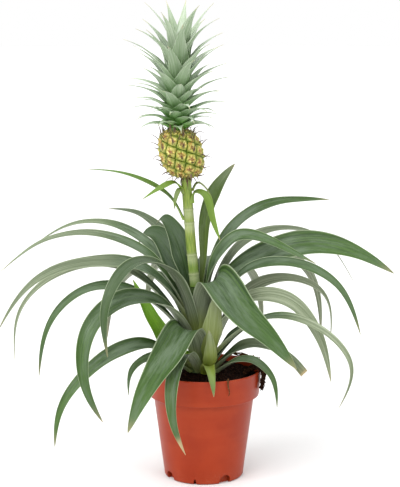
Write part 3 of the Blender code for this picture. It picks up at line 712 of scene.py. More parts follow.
def stalk_finish():
    """Yellow-green skin, streaked along its length, greener low down, with powder laid over it."""
    made, tree = new_material("stalk_skin")
    run, turn = attribute(tree, "run"), attribute(tree, "turn")
    streak = noise(tree, vector_of(tree, turn, times(tree, run, 0.05), 0.0), 1.1, 3.0, 0.6)
    colour = blend(tree, between(tree, streak, 0.35, 0.65), (0.110, 0.185, 0.018), (0.260, 0.330, 0.045))
    colour = blend(tree, times(tree, attribute(tree, "low"), 0.6), colour, (0.091, 0.198, 0.030))
    speck = noise(tree, vector_of(tree, turn, run, 3.0), 0.9, 3.0, 0.65)
    powder = times(tree, attribute(tree, "powder"), between(tree, speck, 0.2, 0.6, 0.35, 1.0), True)
    colour = blend(tree, times(tree, attribute(tree, "scar"), 0.75), colour, (0.100, 0.130, 0.015))
    colour = blend(tree, times(tree, powder, 0.7), colour, (0.370, 0.410, 0.230))
    return complete(made, colour, between(tree, powder, 0.0, 1.0, 0.42, 0.8), streak, 0.0006)


def grainy_finish(name, dark, light, relief, roughness=0.95, specular=0.02):
    """A crumbly surface of two colours, for bark, peat and roots."""
    made, tree = new_material(name, specular)
    grain = use_group(tree, grain_group, Place=object_place(tree))
    return complete(made, blend(tree, grain["Light"], dark, light), roughness, grain["Height"], relief)


stem_bark = grainy_finish("stem_bark", (0.030, 0.060, 0.010), (0.110, 0.160, 0.035), 0.0008, 0.65, 0.5)
place_on_frame(make_stem(stem_bark), "stem", "plant_stem")
place_on_frame(make_stalk(stalk_finish()), "stalk", "flower_stalk")
print("stalk nodes at", NODE_HEIGHTS, "mm")

# %% [markdown]
# The bracts are small leaves on the stalk, so they come from the rosette's path and blade functions.
# Two of them have begun to dry, and one clasps the stalk and hangs down its side.

# %% Bracts
# How young and how dry each bract is.
BRACT_LOOKS = {"left_long": (0.1, 0.0), "clasping": (0.35, 0.0), "right_thin": (0.2, 0.25),
               "left_bright": (0.3, 0.0), "left_dark": (0.0, 0.15)}


def bract(leaf):
    """A blade on the stalk, cupped round it at the root."""
    path, across, share = leaf_path(leaf, stalk_middle(leaf.root), STALK_RADIUS, 44, (0.8, 1.0, 0.2, 2.0))
    half = BRACT_SPREAD * leaf.width / 2 * leaf_width(share, leaf.tip * 0.2, 0.9)
    turn = 0.35 + 0.95 * np.exp(-share / 0.12)
    grid, c = blade(path, across, half, turn, 0.3 + 0.5 * (1 - share), 0.0, BLADE_ACROSS)
    young, dry = BRACT_LOOKS[leaf.name.removeprefix("bract_")]
    values = blade_values(grid, c, half, 0.3, young, dry + (1 - dry) * smooth_step((share - 0.93) / 0.07))
    piece = add_piece(leaf.name + "_blade", as_part(grid, values), bract_green)
    return place_on_frame(piece, "bract", leaf.name)


bracts = [bract(leaf) for leaf in BRACTS]
print("bracts:", len(bracts))

# %% [markdown]
# ## The fruit
#
# The fruit is a barrel that stands on the stalk and leans with it. Its skin is divided into eyes, each
# left by one flower. Twelve columns of eyes climb the fruit. A line of neighbouring eyes followed once
# round ends four rows off, and each row is turned by three tenths of an eye, so the eyes line up in
# spirals both ways. On the skin, the nearest eye's distance d1 and the next one's distance d2 shape
# everything: the seam is where d2 - d1 is near zero, and the dome is highest where d1 is small.

# %% Fruit surface
FRUIT_LENGTH, FRUIT_RADIUS, FRUIT_LEAN = 46.6, 21.6, 10.0
FRUIT_FOOT = (-18.9, 0.0, 316.0)
BARREL_POWER, FRUIT_END = 0.6, 0.4
EYES_ROUND, EYE_PITCH, EYE_LAG, SPIRALS = 12, 11.2, 0.3, 4


def leaning(foot, lean, height):
    """Where the axis of a piece that stands on foot and leans to -X is, at each height."""
    height = np.asarray(height, float)
    x = foot[0] - (height - foot[2]) * np.tan(np.radians(lean))
    return np.stack([x, np.full_like(x, foot[1])], axis=-1)


def barrel_section(count=1600, last=1.53):
    """The barrel's outline by distance along it: distance, radius and height. The radius is
    R cos(a)^0.6 and the height goes with sin(a)."""
    start = np.arccos(FRUIT_END ** (1 / BARREL_POWER))
    a = np.linspace(-last, last, count)
    radius = FRUIT_RADIUS * np.cos(a) ** BARREL_POWER
    height = FRUIT_FOOT[2] + FRUIT_LENGTH * (np.sin(a) / np.sin(start) + 1) / 2
    distance = running(np.hypot(np.diff(radius), np.diff(height)))
    return distance - distance[-1] / 2, radius, height


SECTION = barrel_section()


def on_barrel(distance, turn, lift=0.0):
    """A point of the barrel, its outward normal and its upward tangent. distance is along the outline
    from the waist, turn is in radians, and lift stands off the skin."""
    line, radius, height = SECTION
    slope_r = np.interp(distance, line, np.gradient(radius, line))
    slope_z = np.interp(distance, line, np.gradient(height, line))
    r, z = np.interp(distance, line, radius), np.interp(distance, line, height)
    cos, sin = np.cos(turn), np.sin(turn)
    normal = np.stack([slope_z * cos, slope_z * sin, -slope_r], axis=-1)
    up = np.stack([slope_r * cos, slope_r * sin, slope_z], axis=-1)
    point = np.stack([r * cos, r * sin, z], axis=-1) + normal * np.asarray(lift)[..., None]
    point[..., :2] += leaning(FRUIT_FOOT, FRUIT_LEAN, point[..., 2])
    return point, normal, up


def eye_place(number, row):
    """An eye's distance along the outline and its turn. Each row climbs, and lags behind the row below,
    so that twelve eyes on, SPIRALS rows have to be climbed to come back to the same eye."""
    distance = (row - SPIRALS * number / EYES_ROUND) * EYE_PITCH
    steps = number * (1 - SPIRALS * EYE_LAG / EYES_ROUND) + EYE_LAG * row
    return distance, 2 * np.pi / EYES_ROUND * steps


def nearest_eyes(distance, turn):
    """For each point of the skin: d1, d2, the nearest eye's number, and its offset from that eye."""
    radius = np.interp(distance, SECTION[0], SECTION[1])
    across, climb = turn * EYES_ROUND / (2 * np.pi), distance / EYE_PITCH
    number = across - EYE_LAG * climb
    row = climb + SPIRALS * number / EYES_ROUND
    found = []
    for step in np.ndindex(3, 3):
        near, level = np.round(number) + step[0] - 1, np.round(row) + step[1] - 1
        place, at = eye_place(near, level)
        right, above = radius * (turn - at), distance - place
        lap = np.floor(near / EYES_ROUND)
        name = (near - EYES_ROUND * lap) + 40 * (level - SPIRALS * lap)
        found.append((np.hypot(right, above), name, right, above))
    lengths = np.stack([f[0] for f in found])
    order = np.argsort(lengths, axis=0)
    pick = lambda k, rank: np.take_along_axis(np.stack([f[k] for f in found]), order[rank][None], axis=0)[0]
    return pick(0, 0), pick(0, 1), pick(1, 0), pick(2, 0), pick(3, 0)


def eyes():
    """Every eye whose middle is on the skin."""
    most = SECTION[0][-1] - 3
    all_eyes = [(n, row) for n in range(EYES_ROUND) for row in range(-6, 12)]
    return [eye for eye in all_eyes if abs(eye_place(*eye)[0]) < most]


def tone_of(number):
    """A steady random number from 0 to 1 for each eye."""
    return np.mod(np.sin(number * 12.9898 + 4.1) * 43758.5453, 1.0)


def make_fruit(finish, rows=230, ring=320):
    """The skin: a dome on every eye, a scarred dimple at its middle and a V-shaped seam round it."""
    line = SECTION[0]
    distance = np.linspace(line[0], line[-1], rows)[:, None] * np.ones(ring)
    turn = np.ones((rows, 1)) * around(ring)
    d1, d2, number, right, above = nearest_eyes(distance, turn)
    tone = tone_of(number)
    angle = np.arctan2(above, right + 0.01)
    seam = smooth_step((d2 - d1 + 0.35 * np.cos(5 * angle + 9 * tone)) / 1.5)
    ends = smooth_step((line[-1] - np.abs(distance)) / 9)
    dome = 2.3 * (1 - (d1 / 8.4) ** 2)
    petal = d1 * (1 - 0.3 * np.cos(5 * angle + 6.3 * tone)) / 1.2
    dimple = -1.2 * np.exp(-((petal / 2.2) ** 2)) + 0.5 * np.exp(-(((petal - 3.4) / 0.9) ** 2))
    folds = 0.25 * np.cos(7 * angle + 6 * tone) * smooth_step(d1 / 2)
    lift = ends * (dome * (0.8 + 0.4 * tone) + dimple + folds - 1.4 * (1 - seam)) - 0.7
    point, _, _ = on_barrel(distance, turn, lift)
    values = {"seam": seam.ravel(), "eye": d1.ravel(), "tone": tone.ravel(), "petal": petal.ravel()}
    return add_piece("fruit_skin", as_part(point, values), finish)


def fruit_finish():
    """Olive seams, cream to peach domes that differ from eye to eye, and rusty star-shaped middles."""
    made, tree = new_material("fruit_skin")
    eye, seam, tone = attribute(tree, "eye"), attribute(tree, "seam"), attribute(tree, "tone")
    place = object_place(tree)
    mottle = noise(tree, place, 420.0, 4.0, 0.6)
    dome = blend(tree, tone, (0.430, 0.390, 0.050), (0.500, 0.310, 0.065))
    dome = blend(tree, between(tree, mottle, 0.42, 0.62), dome, (0.700, 0.600, 0.200))
    greener = times(tree, between(tree, eye, 2.6, 6.0), between(tree, tone, 0.0, 1.0, 1.0, 0.6))
    dome = blend(tree, greener, dome, (0.160, 0.220, 0.015))
    blotch = noise(tree, place, 150.0, 3.0, 0.6)
    dome = blend(tree, between(tree, blotch, 0.48, 0.62, 0.0, 0.75), dome, (0.150, 0.190, 0.016))
    dome = blend(tree, between(tree, blotch, 0.30, 0.44, 0.6, 0.0), dome, (0.420, 0.190, 0.040))
    colour = blend(tree, seam, (0.085, 0.150, 0.010), dome)
    star = maths(tree, "ADD", attribute(tree, "petal"), times(tree, mottle, 7.0))
    colour = blend(tree, between(tree, star, 3.6, 6.4, 0.9, 0.0), colour, (0.190, 0.055, 0.015))
    return complete(made, colour, between(tree, mottle, 0.3, 0.7, 0.36, 0.56), mottle, 0.0005)


place_on_frame(make_fruit(fruit_finish()), "fruit_rind", "fruit")
print("fruit eyes:", len(eyes()))

# %% [markdown]
# A small bract stands below the middle of every eye. It lies on the skin at first, curls away from it,
# and has dried to brown and purple at the tip. Under the crown, a ruff of dead bracts fills the gap.

# %% Fruit bracts
def small_blade(root, up, out, size, bend, twist, tone, dryness, stations=9):
    """A short blade of that length and width. It starts tilted from up towards out by the first number
    of bend and curls on by the second, in degrees. dryness gives how dry it is along its length."""
    (length, width), (first, curl) = size, bend
    t = np.linspace(0, 1, stations)
    angle = np.radians(first + curl * t)[:, None]
    steps = (up * np.cos(angle) + out * np.sin(angle)) * length / (stations - 1)
    path = root + np.cumsum(np.concatenate([0 * steps[:1], steps[1:]]), axis=0)
    side = np.cross(up, out)
    lean = np.radians(twist) * t[:, None]
    across = side * np.cos(lean) + np.cross(unit(steps), side) * np.sin(lean)
    half = width / 2 * np.maximum((1 - t) ** 1.1, 0.08)
    grid, c = blade(path, across, half, 0.5 + 0 * t, 0.25 + 0.35 * (1 - t), 0.0, 5)
    return as_part(grid, blade_values(grid, c, half, tone, 0.0, dryness(t)))


def fruit_bracts():
    draws = np.random.default_rng(11)
    parts = []
    for number, row in eyes():
        jitter = draws.uniform(-1, 1, 6)
        distance, turn = eye_place(number, row)
        root, normal, up = on_barrel(distance - 4.6, turn + 0.03 * jitter[0], 0.2)
        size = (12.0 + 3.5 * jitter[1], 3.2 + 0.7 * jitter[2])
        bend = (40 + 14 * jitter[3], 40 + 110 * jitter[4])
        parts.append(small_blade(root, up, normal, size, bend, 60 * jitter[5], 0.4 + 0.4 * jitter[0],
                                 lambda t: smooth_step((t - 0.05) / 0.3)))
    return join_parts(parts)


def ruff():
    """Dead bracts round the top of the fruit, under the crown, and a few round its foot."""
    draws = np.random.default_rng(23)
    parts = []
    for top, count, reach in ((1, 22, 15.0), (-1, 14, 10.0)):
        for number in range(count):
            jitter = draws.uniform(-1, 1, 6)
            turn = 2 * np.pi * (number + 0.35 * jitter[0]) / count
            distance = top * (SECTION[0][-1] - reach + 4.5 * jitter[1])
            root, normal, up = on_barrel(distance, turn, 0.1)
            size, bend = (8.5 + 3.5 * jitter[2], 2.8 + jitter[3]), (35 + 30 * jitter[4], 70 * jitter[5])
            parts.append(small_blade(root, up * top, normal, size, bend, 60 * jitter[1],
                                     0.5 + 0.5 * jitter[2], lambda t: 0.4 + 0.6 * t))
    return join_parts(parts)


def dry_bract_finish():
    """Olive at the base, then purple-brown, and bleached to straw at the tip of some."""
    made, tree = new_material("dry_bract")
    dry, tone = attribute(tree, "dry"), attribute(tree, "tone")
    place = vector_of(tree, attribute(tree, "ribs"), attribute(tree, "run"), tone)
    fibres = noise(tree, place, 1.6, 3.0, 0.6)
    dead = blend(tree, between(tree, fibres, 0.35, 0.65), (0.020, 0.008, 0.008), (0.120, 0.055, 0.030))
    dead = blend(tree, between(tree, tone, 0.6, 1.0, 0.0, 0.6), dead, (0.380, 0.274, 0.167))
    return complete(made, blend(tree, dry, (0.228, 0.228, 0.053), dead), 0.7, fibres, 0.0004)


dry_bract = dry_bract_finish()
for name, part in (("fruit_bracts", fruit_bracts()), ("fruit_ruff", ruff())):
    place_on_frame(add_piece(name, part, dry_bract), "bract")
print("fruit bracts:", len(eyes()))

# %% [markdown]
# ## The crown
#
# Its leaves spiral up a short axis, each turned by the golden angle, 137.5 degrees, from the one
# before. The lowest are short and arch out over the fruit. Higher up they are longer, broader and
# steeper, and there are fewer of them. Nine to four leaves in a row make one tier of the frame.

# %% Crown leaves
CROWN_TIERS, GOLDEN = 10, 137.508
TIER_COUNTS = (9, 9, 8, 8, 7, 6, 6, 5, 5, 4)
CROWN_LEAN, TIER_PITCH, CROWN_STATIONS = -2.0, 6.3, 40
FRUIT_TOP = FRUIT_FOOT[2] + FRUIT_LENGTH
CROWN_FOOT = (*leaning(FRUIT_FOOT, FRUIT_LEAN, FRUIT_TOP), FRUIT_TOP)


def crown_leaf(number, draws):
    """One crown leaf. Its slope goes from rise to fall with t^1.25 and is added up along its length."""
    jitter = draws.uniform(-1, 1, 8)
    share = np.interp(number + 0.5, np.cumsum((0,) + TIER_COUNTS[:-1]) + 2.0, np.linspace(0, 1, CROWN_TIERS))
    length = (37 + 46 * share**0.8) * (1 + 0.1 * jitter[0])
    rise, fall = 36 + 46 * share + 4 * jitter[1], -46 + 83 * share**0.7 + 12 * jitter[2]
    width = (12.5 + 11.5 * share**0.8) * (1 + 0.08 * jitter[3])
    plate = 7.6 - 5.2 * share
    height = CROWN_FOOT[2] + 1.2 + 2.4 * share + TIER_PITCH * share**1.15 * (CROWN_TIERS - 1)
    t = np.linspace(0, 1, CROWN_STATIONS)
    slope = np.radians(rise + (fall - rise) * t**1.25)
    step = length / (CROWN_STATIONS - 1)
    reach, climb = (running(part[:-1] + part[1:]) / 2 * step for part in (np.cos(slope), np.sin(slope)))
    out, side = plan_directions(np.radians(number * GOLDEN + 4 * jitter[4]))
    path = out * (plate - 3 + reach)[:, None] + side * (2.5 * jitter[5] * t**2)[:, None]
    path[:, 2] = height - 1.5 + climb
    path[:, :2] += leaning(CROWN_FOOT, CROWN_LEAN, height)
    taper = np.maximum(np.clip((1 - t) / 0.75, 0, 1) ** 1.25, 0.02)
    half = width / 2 * np.minimum(0.9 + 0.6 * t, 1.0) * taper
    bend = 0.4 + 0.75 * np.exp(-t / 0.2)
    roll = np.radians(16 * jitter[6]) * t[:, None]
    across = side * np.cos(roll) + np.cross(unit(np.gradient(path, axis=0)), side) * np.sin(roll)
    ripple = 0.05 * half * wave(t * length, 24, 6 * jitter[7]) * smooth_step(t / 0.3)
    grid, c = blade(path, across, half, bend, 0.35 + 1.0 * (1 - t) ** 1.3, ripple[:, None], 11)
    young = (1.0 - 0.5 * share) * np.exp(-((t / (0.42 - 0.12 * share)) ** 2))
    dry = 0.85 * smooth_step((t - 0.84) / 0.14)
    return as_part(grid, blade_values(grid, c, half, 0.4 + 0.4 * jitter[0], young, dry))


def crown_core():
    """The axis that the crown's leaves grow from, hidden between their bases."""
    z = FRUIT_TOP + np.linspace(-1.5, 60, 30)
    path = np.concatenate([leaning(CROWN_FOOT, CROWN_LEAN, z), z[:, None]], axis=1)
    grid = tube(path, np.linspace(8.0, 2.0, len(z)), 24)
    return as_part(grid, blade_values(grid, np.zeros(24), np.ones(len(z)), 0.5, 0.8, 0.0))


def make_crown():
    draws = np.random.default_rng(5)
    for tier, count in enumerate(TIER_COUNTS):
        first = sum(TIER_COUNTS[:tier])
        parts = [crown_leaf(first + n, draws) for n in range(count)]
        parts += [crown_core()] if tier == 0 else []
        piece = add_piece(f"crown_leaves_{tier + 1:02d}", join_parts(parts), crown_green)
        place_on_frame(piece, "crown_leaf", f"crown_tier_{tier + 1:02d}")


make_crown()
print("crown:", sum(TIER_COUNTS), "leaves")

# %% [markdown]
# ## The pot
#
# A thin-walled nursery pot: a tapered wall, a plain band under the rim with a rolled edge, and a foot
# with arched notches for drainage. The outline is turned about the pot's axis, then the notches are
# cut out of the foot. The plastic is satin, with a fine mould grain, faint rubs and a little dust.

# %% Pot surface
POT_HEIGHT, RIM_RADIUS, BEAD = 114.5, 60.0, 1.0
BAND_FOOT_RADIUS, BAND_FOOT_HEIGHT, BAND_INSIDE = 57.4, 87.0, 90.0
WALL_TOP_RADIUS, FOOT_RADIUS, FOOT_FILLET, WALL = 52.2, 41.2, 2.6, 1.6
FLOOR_HEIGHT, FLOOR_TOP = 4.0, 6.4
NOTCHES, FIRST_NOTCH_AZIMUTH = 8, 212.0
NOTCH_WIDTHS, NOTCH_HEIGHTS = (13.0, 3.0), (9.0, 6.0)
POT_EDGE_ANGLE = 35


def arc(centre, radius, start, end, count):
    """Points on a circular arc, with angles in degrees."""
    a = np.radians(np.linspace(start, end, count))
    return np.stack([centre[0] + radius * np.cos(a), centre[1] + radius * np.sin(a)], axis=1).tolist()


def pot_outline():
    """(radius, height) from the button under the floor, up the outside, over the rim and down inside."""
    outer = [(9.0, 0.0), (10.0, 0.6), (11.0, FLOOR_HEIGHT), (31.0, FLOOR_HEIGHT), (32.4, 0.4), (33.2, 0.0)]
    outer += arc((FOOT_RADIUS - FOOT_FILLET, FOOT_FILLET), FOOT_FILLET, -90, 0, 8)
    rise = np.linspace(0, 1, 16)[1:-1]
    wall = np.stack([FOOT_RADIUS + rise * (WALL_TOP_RADIUS - FOOT_RADIUS), 3 + rise * 82], axis=1)
    outer += wall.tolist() + [(WALL_TOP_RADIUS, 85.2), (WALL_TOP_RADIUS + 0.35, 86.3)]
    outer += [(WALL_TOP_RADIUS + 1.2, 86.8), (BAND_FOOT_RADIUS - 0.9, 86.9)]
    outer += arc((BAND_FOOT_RADIUS - 0.9, 87.8), 0.9, -60, -5, 5) + [(BAND_FOOT_RADIUS + 1.2, 101.0)]
    outer += arc((RIM_RADIUS - BEAD, POT_HEIGHT - BEAD), BEAD, -30, 185, 14)
    inner = [(BAND_FOOT_RADIUS - WALL, BAND_INSIDE), (WALL_TOP_RADIUS - WALL, BAND_FOOT_HEIGHT - 1.0)]
    inner += [(FOOT_RADIUS - WALL, FLOOR_TOP + 3.0), (FOOT_RADIUS - WALL - FOOT_FILLET, FLOOR_TOP)]
    return np.array(outer + inner)


def turned(outline, segments=192):
    """An outline turned about Z, as rows by ring by three."""
    t = around(segments)
    r, z = outline[:, :1], outline[:, 1:]
    return np.stack([r * np.cos(t), r * np.sin(t), z * np.ones(segments)], axis=-1)


def notch_cutters():
    """Eight round-topped bars across the foot ring, wide and narrow in turn, as one closed mesh."""
    parts = []
    for i in range(NOTCHES):
        width, height = NOTCH_WIDTHS[i % 2], NOTCH_HEIGHTS[i % 2]
        a = np.radians(np.linspace(0, 180, 15))
        across = np.concatenate([[-width / 2, width / 2], width / 2 * np.cos(a), [-width / 2]])[:, None]
        rise = np.concatenate([[-4.0, -4.0], height * (0.35 + 0.65 * np.sin(a)), [-1.0]])[:, None]
        out, right = plan_directions(np.radians(FIRST_NOTCH_AZIMUTH + 360 / NOTCHES * i))
        ring = np.array([0, 0, 1.0]) * rise - right * across
        parts.append(as_part(np.stack([out * 35.5 + ring, out * 50.0 + ring])))
    return add_piece("notch_cutters", join_parts(parts), bpy.data.materials["pot_plastic"])


def make_pot(finish):
    """Turns the outline, subtracts the notches, and keeps only the result."""
    pot = add_piece("pot_shell", as_part(turned(pot_outline())), finish, POT_EDGE_ANGLE)
    cutters = notch_cutters()
    cut = pot.modifiers.new("notches", "BOOLEAN")
    cut.operation, cut.solver, cut.object = "DIFFERENCE", "EXACT", cutters
    depsgraph = bpy.context.evaluated_depsgraph_get()
    solid = bpy.data.meshes.new_from_object(pot.evaluated_get(depsgraph))
    pot.modifiers.clear()
    pot.data = solid
    bpy.data.objects.remove(cutters)
    solid.shade_smooth()
    solid.set_sharp_from_angle(angle=np.radians(POT_EDGE_ANGLE))
    return pot


def pot_finish():
    """Terracotta-orange plastic with long faint rubs, and dust round its foot and towards its rim."""
    made, tree = new_material("pot_plastic", 0.22)
    place = object_place(tree)
    height = node(tree, "ShaderNodeSeparateXYZ", place).outputs["Z"]
    mottle = noise(tree, place, 26.0, 4.0, 0.55)
    stretched = node(tree, "ShaderNodeMapping", place, (0, 0, 0), (0, 0, 0), (9.0, 9.0, 60.0))
    flow = noise(tree, stretched.outputs[0], 1.0)
    colour = blend(tree, between(tree, mottle, 0.35, 0.65), (0.268, 0.024, 0.003), (0.315, 0.032, 0.005))
    colour = blend(tree, between(tree, flow, 0.45, 0.75, 0.0, 0.3), colour, (0.370, 0.052, 0.012))
    grain = use_group(tree, grain_group, Place=place)
    low = between(tree, height, 0.0, 0.02, 0.45, 0.0)
    rim = between(tree, height, 0.104, 0.115, 0.0, 0.35)
    dust = times(tree, maths(tree, "ADD", low, rim), between(tree, mottle, 0.35, 0.7), True)
    dust = times(tree, dust, grain["Light"])
    colour = blend(tree, dust, colour, (0.418, 0.251, 0.167))
    rough = maths(tree, "ADD", between(tree, mottle, 0.3, 0.7, 0.32, 0.42), times(tree, dust, 0.4))
    relief = maths(tree, "ADD", times(tree, grain["Height"], 0.2), mottle)
    return complete(made, colour, rough, relief, 0.0008, 0.5)


pot = place_on_frame(make_pot(pot_finish()), "pot_plastic", "pot")
print("pot:", len(pot.data.polygons), "faces")

# %% [markdown]
# ## Peat and roots
#
# The pot is filled with dark peat to just under its rim. The top is a mound of lumps: waves of several
# lengths crossed in many directions, folded so that they meet in sharp creases. Loose crumbs and
# fibres lie on it. Roots have grown over the rim on the right, and one hangs over the front.

# %% Peat surface
CRUMBS, SHORT_FIBRES, MATTED_FIBRES = 420, 70, 46
PEAT_EDGE, PEAT_RINGS = 57.2, 90


def lumps(x, y, draws, lengths, count=7):
    """Folded waves: the sum over lengths of |sin| in random directions, each as high as its length."""
    total = np.zeros_like(x)
    for length in lengths:
        turns, phases = draws.uniform(0, 2 * np.pi, count), draws.uniform(0, 2 * np.pi, count)
        for turn, phase in zip(turns, phases):
            total += length / count * np.abs(wave(x * np.cos(turn) + y * np.sin(turn), 2 * length, phase))
    return total


def make_peat(finish):
    """The mound's rings from the wall to the middle, each point raised by the lumps, and the body
    below it down to the pot's floor."""
    draws = np.random.default_rng(3)
    radii = np.concatenate([[30.0, 38.0, 49.8, 55.3], np.linspace(PEAT_EDGE, 0.3, PEAT_RINGS)])
    heights = np.concatenate([[7.0, 9.8, 86.0, 90.0], np.full(PEAT_RINGS, 103.2)])
    grid = turned(np.stack([radii, heights], axis=1), 200)
    x, y, top = np.moveaxis(grid[4:], -1, 0)
    r = radii[4:, None]
    mound = 2.6 * (1 - (r / PEAT_EDGE) ** 2)
    shore = smooth_step((PEAT_EDGE - r) / 5)
    top += mound + shore * 0.34 * lumps(x, y, draws, (13.0, 6.0, 3.0, 1.5))
    return add_piece("potting_soil_surface", as_part(grid), finish, 80)


def pebble(centre, size, draws):
    """A crumb: a ball of 6 by 8 points whose radius wobbles."""
    v = np.linspace(0.12, np.pi - 0.12, 6)[:, None]
    t = around(8)
    wobble = 1 + 0.3 * np.sin(3 * t + draws.uniform(0, 6)) * np.sin(2 * v + draws.uniform(0, 6))
    flat = 0.7 * np.cos(v) * np.ones_like(t)
    ball = np.stack([np.sin(v) * np.cos(t), np.sin(v) * np.sin(t), flat], axis=-1)
    return as_part(centre + ball * wobble[..., None] * size)


def crumbs():
    draws = np.random.default_rng(17)
    parts = []
    for _ in range(CRUMBS):
        r, t = 54 * np.sqrt(draws.uniform(0.03, 1)), draws.uniform(0, 2 * np.pi)
        size = draws.uniform(0.7, 3.2) * draws.uniform(0.4, 1)
        place = np.array([r * np.cos(t), r * np.sin(t), 107.2 - 1.5 * (r / 56) ** 2])
        parts.append(pebble(place, size, draws))
    return join_parts(parts)


def strand(path, radii, ring=6):
    """A thin round fibre along a path. No fibre runs in the odd direction that its rings are squared to."""
    return as_part(tube(path, radii, ring, (0.31, 0.17, 0.93)))


def loose_fibres():
    """Short fibres on the peat, and matted ones that lie along the rim behind the clump."""
    draws = np.random.default_rng(29)
    parts = []
    for _ in range(SHORT_FIBRES):
        r, t = 52 * np.sqrt(draws.uniform(0.05, 1)), draws.uniform(0, 2 * np.pi)
        heading = draws.uniform(0, 2 * np.pi) + np.cumsum(draws.normal(0, 0.5, 4))
        steps = np.stack([np.cos(heading), np.sin(heading)], axis=1) * draws.uniform(2.0, 4.5)
        xy = np.array([r * np.cos(t), r * np.sin(t)]) + np.cumsum(steps, axis=0)
        xy *= np.minimum(1, 54.5 / np.linalg.norm(xy, axis=1, keepdims=True))
        route = np.column_stack([xy, 108.0 + draws.uniform(-0.6, 1.0, 4)])
        parts.append(strand(smooth_curve(route, 14), np.full(14, draws.uniform(0.12, 0.3))))
    for _ in range(MATTED_FIBRES):
        turns = np.radians(draws.uniform(-12, 34) + np.arange(4) * 9.0 + draws.normal(0, 2.0, 4))
        r, z = 58.0 + draws.normal(0, 1.5, 4), 115.6 + draws.uniform(0, 3.2) + draws.normal(0, 0.5, 4)
        route = np.stack([r * np.cos(turns), r * np.sin(turns), z], axis=1)
        parts.append(strand(smooth_curve(route, 14), np.full(14, draws.uniform(0.25, 0.8))))
    return join_parts(parts)


peat_dark = grainy_finish("peat_dark", (0.003, 0.0015, 0.0015), (0.085, 0.036, 0.020), 0.003)
clump_brown = grainy_finish("clump_brown", (0.012, 0.005, 0.003), (0.110, 0.050, 0.024), 0.003)
root_brown = grainy_finish("root_brown", (0.075, 0.034, 0.015), (0.24, 0.13, 0.06), 0.0006)
place_on_frame(make_peat(peat_dark), "peat", "potting_soil")
peat_light = grainy_finish("peat_light", (0.020, 0.009, 0.006), (0.170, 0.080, 0.040), 0.002)
place_on_frame(add_piece("peat_crumbs", crumbs(), peat_light), "peat")
place_on_frame(add_piece("peat_fibres", loose_fibres(), root_brown), "roots")
print("peat crumbs and fibres laid")

# %% [markdown]
# The clump on the rim follows a path over the edge. Ninety thin roots run along that path, each wandering
# to its own side, with crumbs of peat caught between them.

# %% Roots over the rim
CLUMP_AZIMUTH, FIBRE_AZIMUTH = -13.0, -66.0
CLUMP_STATIONS, CLUMP_ROOTS, CLUMP_CRUMBS = 24, 90, 90
CLUMP_ROUTE = ((44, 112), (55, 117.5), (61.5, 117.5), (62.8, 108), (61.2, 92))
FIBRE_ROUTE = ((48, 109.6), (56, 113.5), (60, 116.2), (61.6, 110), (60.9, 99))


def root_clump():
    """Strands at offset w across the clump and lift h off it, both wandering with the distance."""
    draws = np.random.default_rng(41)
    out, side = plan_directions(np.radians(CLUMP_AZIMUTH))
    flat = smooth_curve(CLUMP_ROUTE, CLUMP_STATIONS)
    share = np.linspace(0, 1, CLUMP_STATIONS)
    half = np.interp(share, (0, 0.5, 1), (8.5, 8.5, 5.0))
    slope = unit(np.gradient(flat, axis=0))
    parts = []
    for _ in range(CLUMP_ROOTS):
        stop = int(draws.uniform(11, CLUMP_STATIONS))
        w = half * (draws.uniform(-1, 1) + 0.22 * wave(share, draws.uniform(0.3, 0.8), draws.uniform(0, 6)))
        h = draws.uniform(-0.5, 1.6) + 0.6 * wave(share, draws.uniform(0.2, 0.6), draws.uniform(0, 6))
        reach = flat[:, 0] - slope[:, 1] * h
        path = out * reach[:, None] + side * w[:, None]
        path[:, 2] = flat[:, 1] + slope[:, 0] * h
        radius = draws.uniform(0.25, 0.75) * (1 - 0.5 * share[:stop])
        parts.append(strand(path[:stop], radius))
    for _ in range(CLUMP_CRUMBS):
        k = int(draws.uniform(0, 21))
        place = out * flat[k, 0] + side * half[k] * draws.uniform(-0.95, 0.95) + np.array([0, 0, flat[k, 1]])
        parts.append(pebble(place, draws.uniform(0.8, 2.4), draws))
    return join_parts(parts)


def root_fibre():
    """The single root over the front rim, with small knots along it."""
    out, side = plan_directions(np.radians(FIBRE_AZIMUTH))
    flat = smooth_curve(FIBRE_ROUTE, 60)
    share = np.linspace(0, 1, 60)
    path = out * flat[:, :1] + side * (0.8 * wave(share, 0.55, 1.0))[:, None]
    path[:, 2] = flat[:, 1]
    radii = np.interp(share, (0, 0.5, 1), (0.7, 0.85, 0.4)) * (1 + 0.12 * wave(share, 0.09, 0.0))
    return strand(path, radii, 10)


place_on_frame(add_piece("root_clump_strands", root_clump(), clump_brown), "roots", "root_clump")
place_on_frame(add_piece("root_fibre_skin", root_fibre(), root_brown), "roots", "root_fibre")
print("roots over the rim placed")

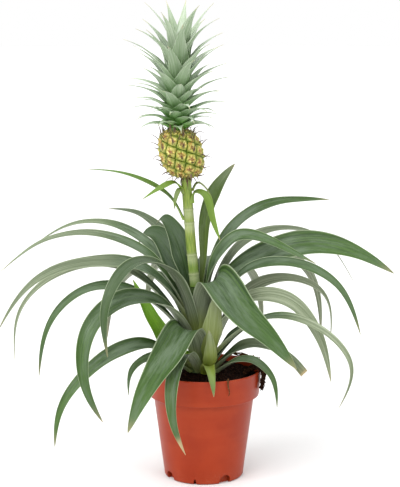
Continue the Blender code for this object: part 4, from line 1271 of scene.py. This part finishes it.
# %% [markdown]
# ## Stage and light
#
# A white studio: a wide pale floor, a white surround that is brighter overhead than at the floor, a
# broad soft key from the upper left of the camera, and two tall soft boxes that put gentle highlights
# on the plastic.

# %% Stage and light
def add_floor(radius=6.0, segments=64):
    t = around(segments)
    rim = np.stack([radius * np.cos(t), radius * np.sin(t), np.zeros(segments)], axis=1)
    made = complete(new_material("floor_paper", 0.2)[0], (0.80, 0.80, 0.80), 0.85)
    mesh = bpy.data.meshes.new("floor")
    mesh.from_pydata(rim.tolist(), [], [list(range(segments))])
    mesh.materials.append(made)
    floor = bpy.data.objects.new("floor", mesh)
    bpy.context.scene.collection.objects.link(floor)
    return floor


def add_light(kind, name, place, aim, power, **settings):
    data = bpy.data.lights.new(name, kind)
    data.energy = power
    for key, value in settings.items():
        setattr(data, key, value)
    return add_aimed(name, data, place, aim)


def add_surround():
    """White to the camera. To everything else its strength grows from 0.35 at the floor to 1.5 overhead."""
    world = bpy.data.worlds.new("white_surround")
    world.use_nodes = True
    tree = world.node_tree
    sky = tree.nodes["Background"].inputs
    fill(tree, sky["Color"], (1.0, 1.0, 1.0))
    aloft = node(tree, "ShaderNodeSeparateXYZ", node(tree, "ShaderNodeTexCoord").outputs["Generated"])
    glow = between(tree, aloft.outputs["Z"], -0.1, 0.9, 0.35, 1.5)
    straight = node(tree, "ShaderNodeLightPath").outputs["Is Camera Ray"]
    fill(tree, sky["Strength"], maths(tree, "MAXIMUM", glow, straight))
    bpy.context.scene.world = world


floor = add_floor()
add_surround()
bpy.context.scene.view_settings.view_transform = "Standard"
add_light("SUN", "key", (-1.2, -1.6, 2.2), (0.0, 0.0, 0.2), 1.9, angle=0.8)
SOFT_BOXES = (("soft_box_right", (1.1, -1.3, 0.7), 0.12, 6.0, 0.3),
              ("soft_box_left", (-1.3, -0.8, 0.8), 0.2, 5.0, 0.4))
for name, place, aim_height, power, width in SOFT_BOXES:
    add_light("AREA", name, place, (0.0, 0.0, aim_height), power, shape="RECTANGLE", size=width, size_y=1.2)
print("stage and lights placed")
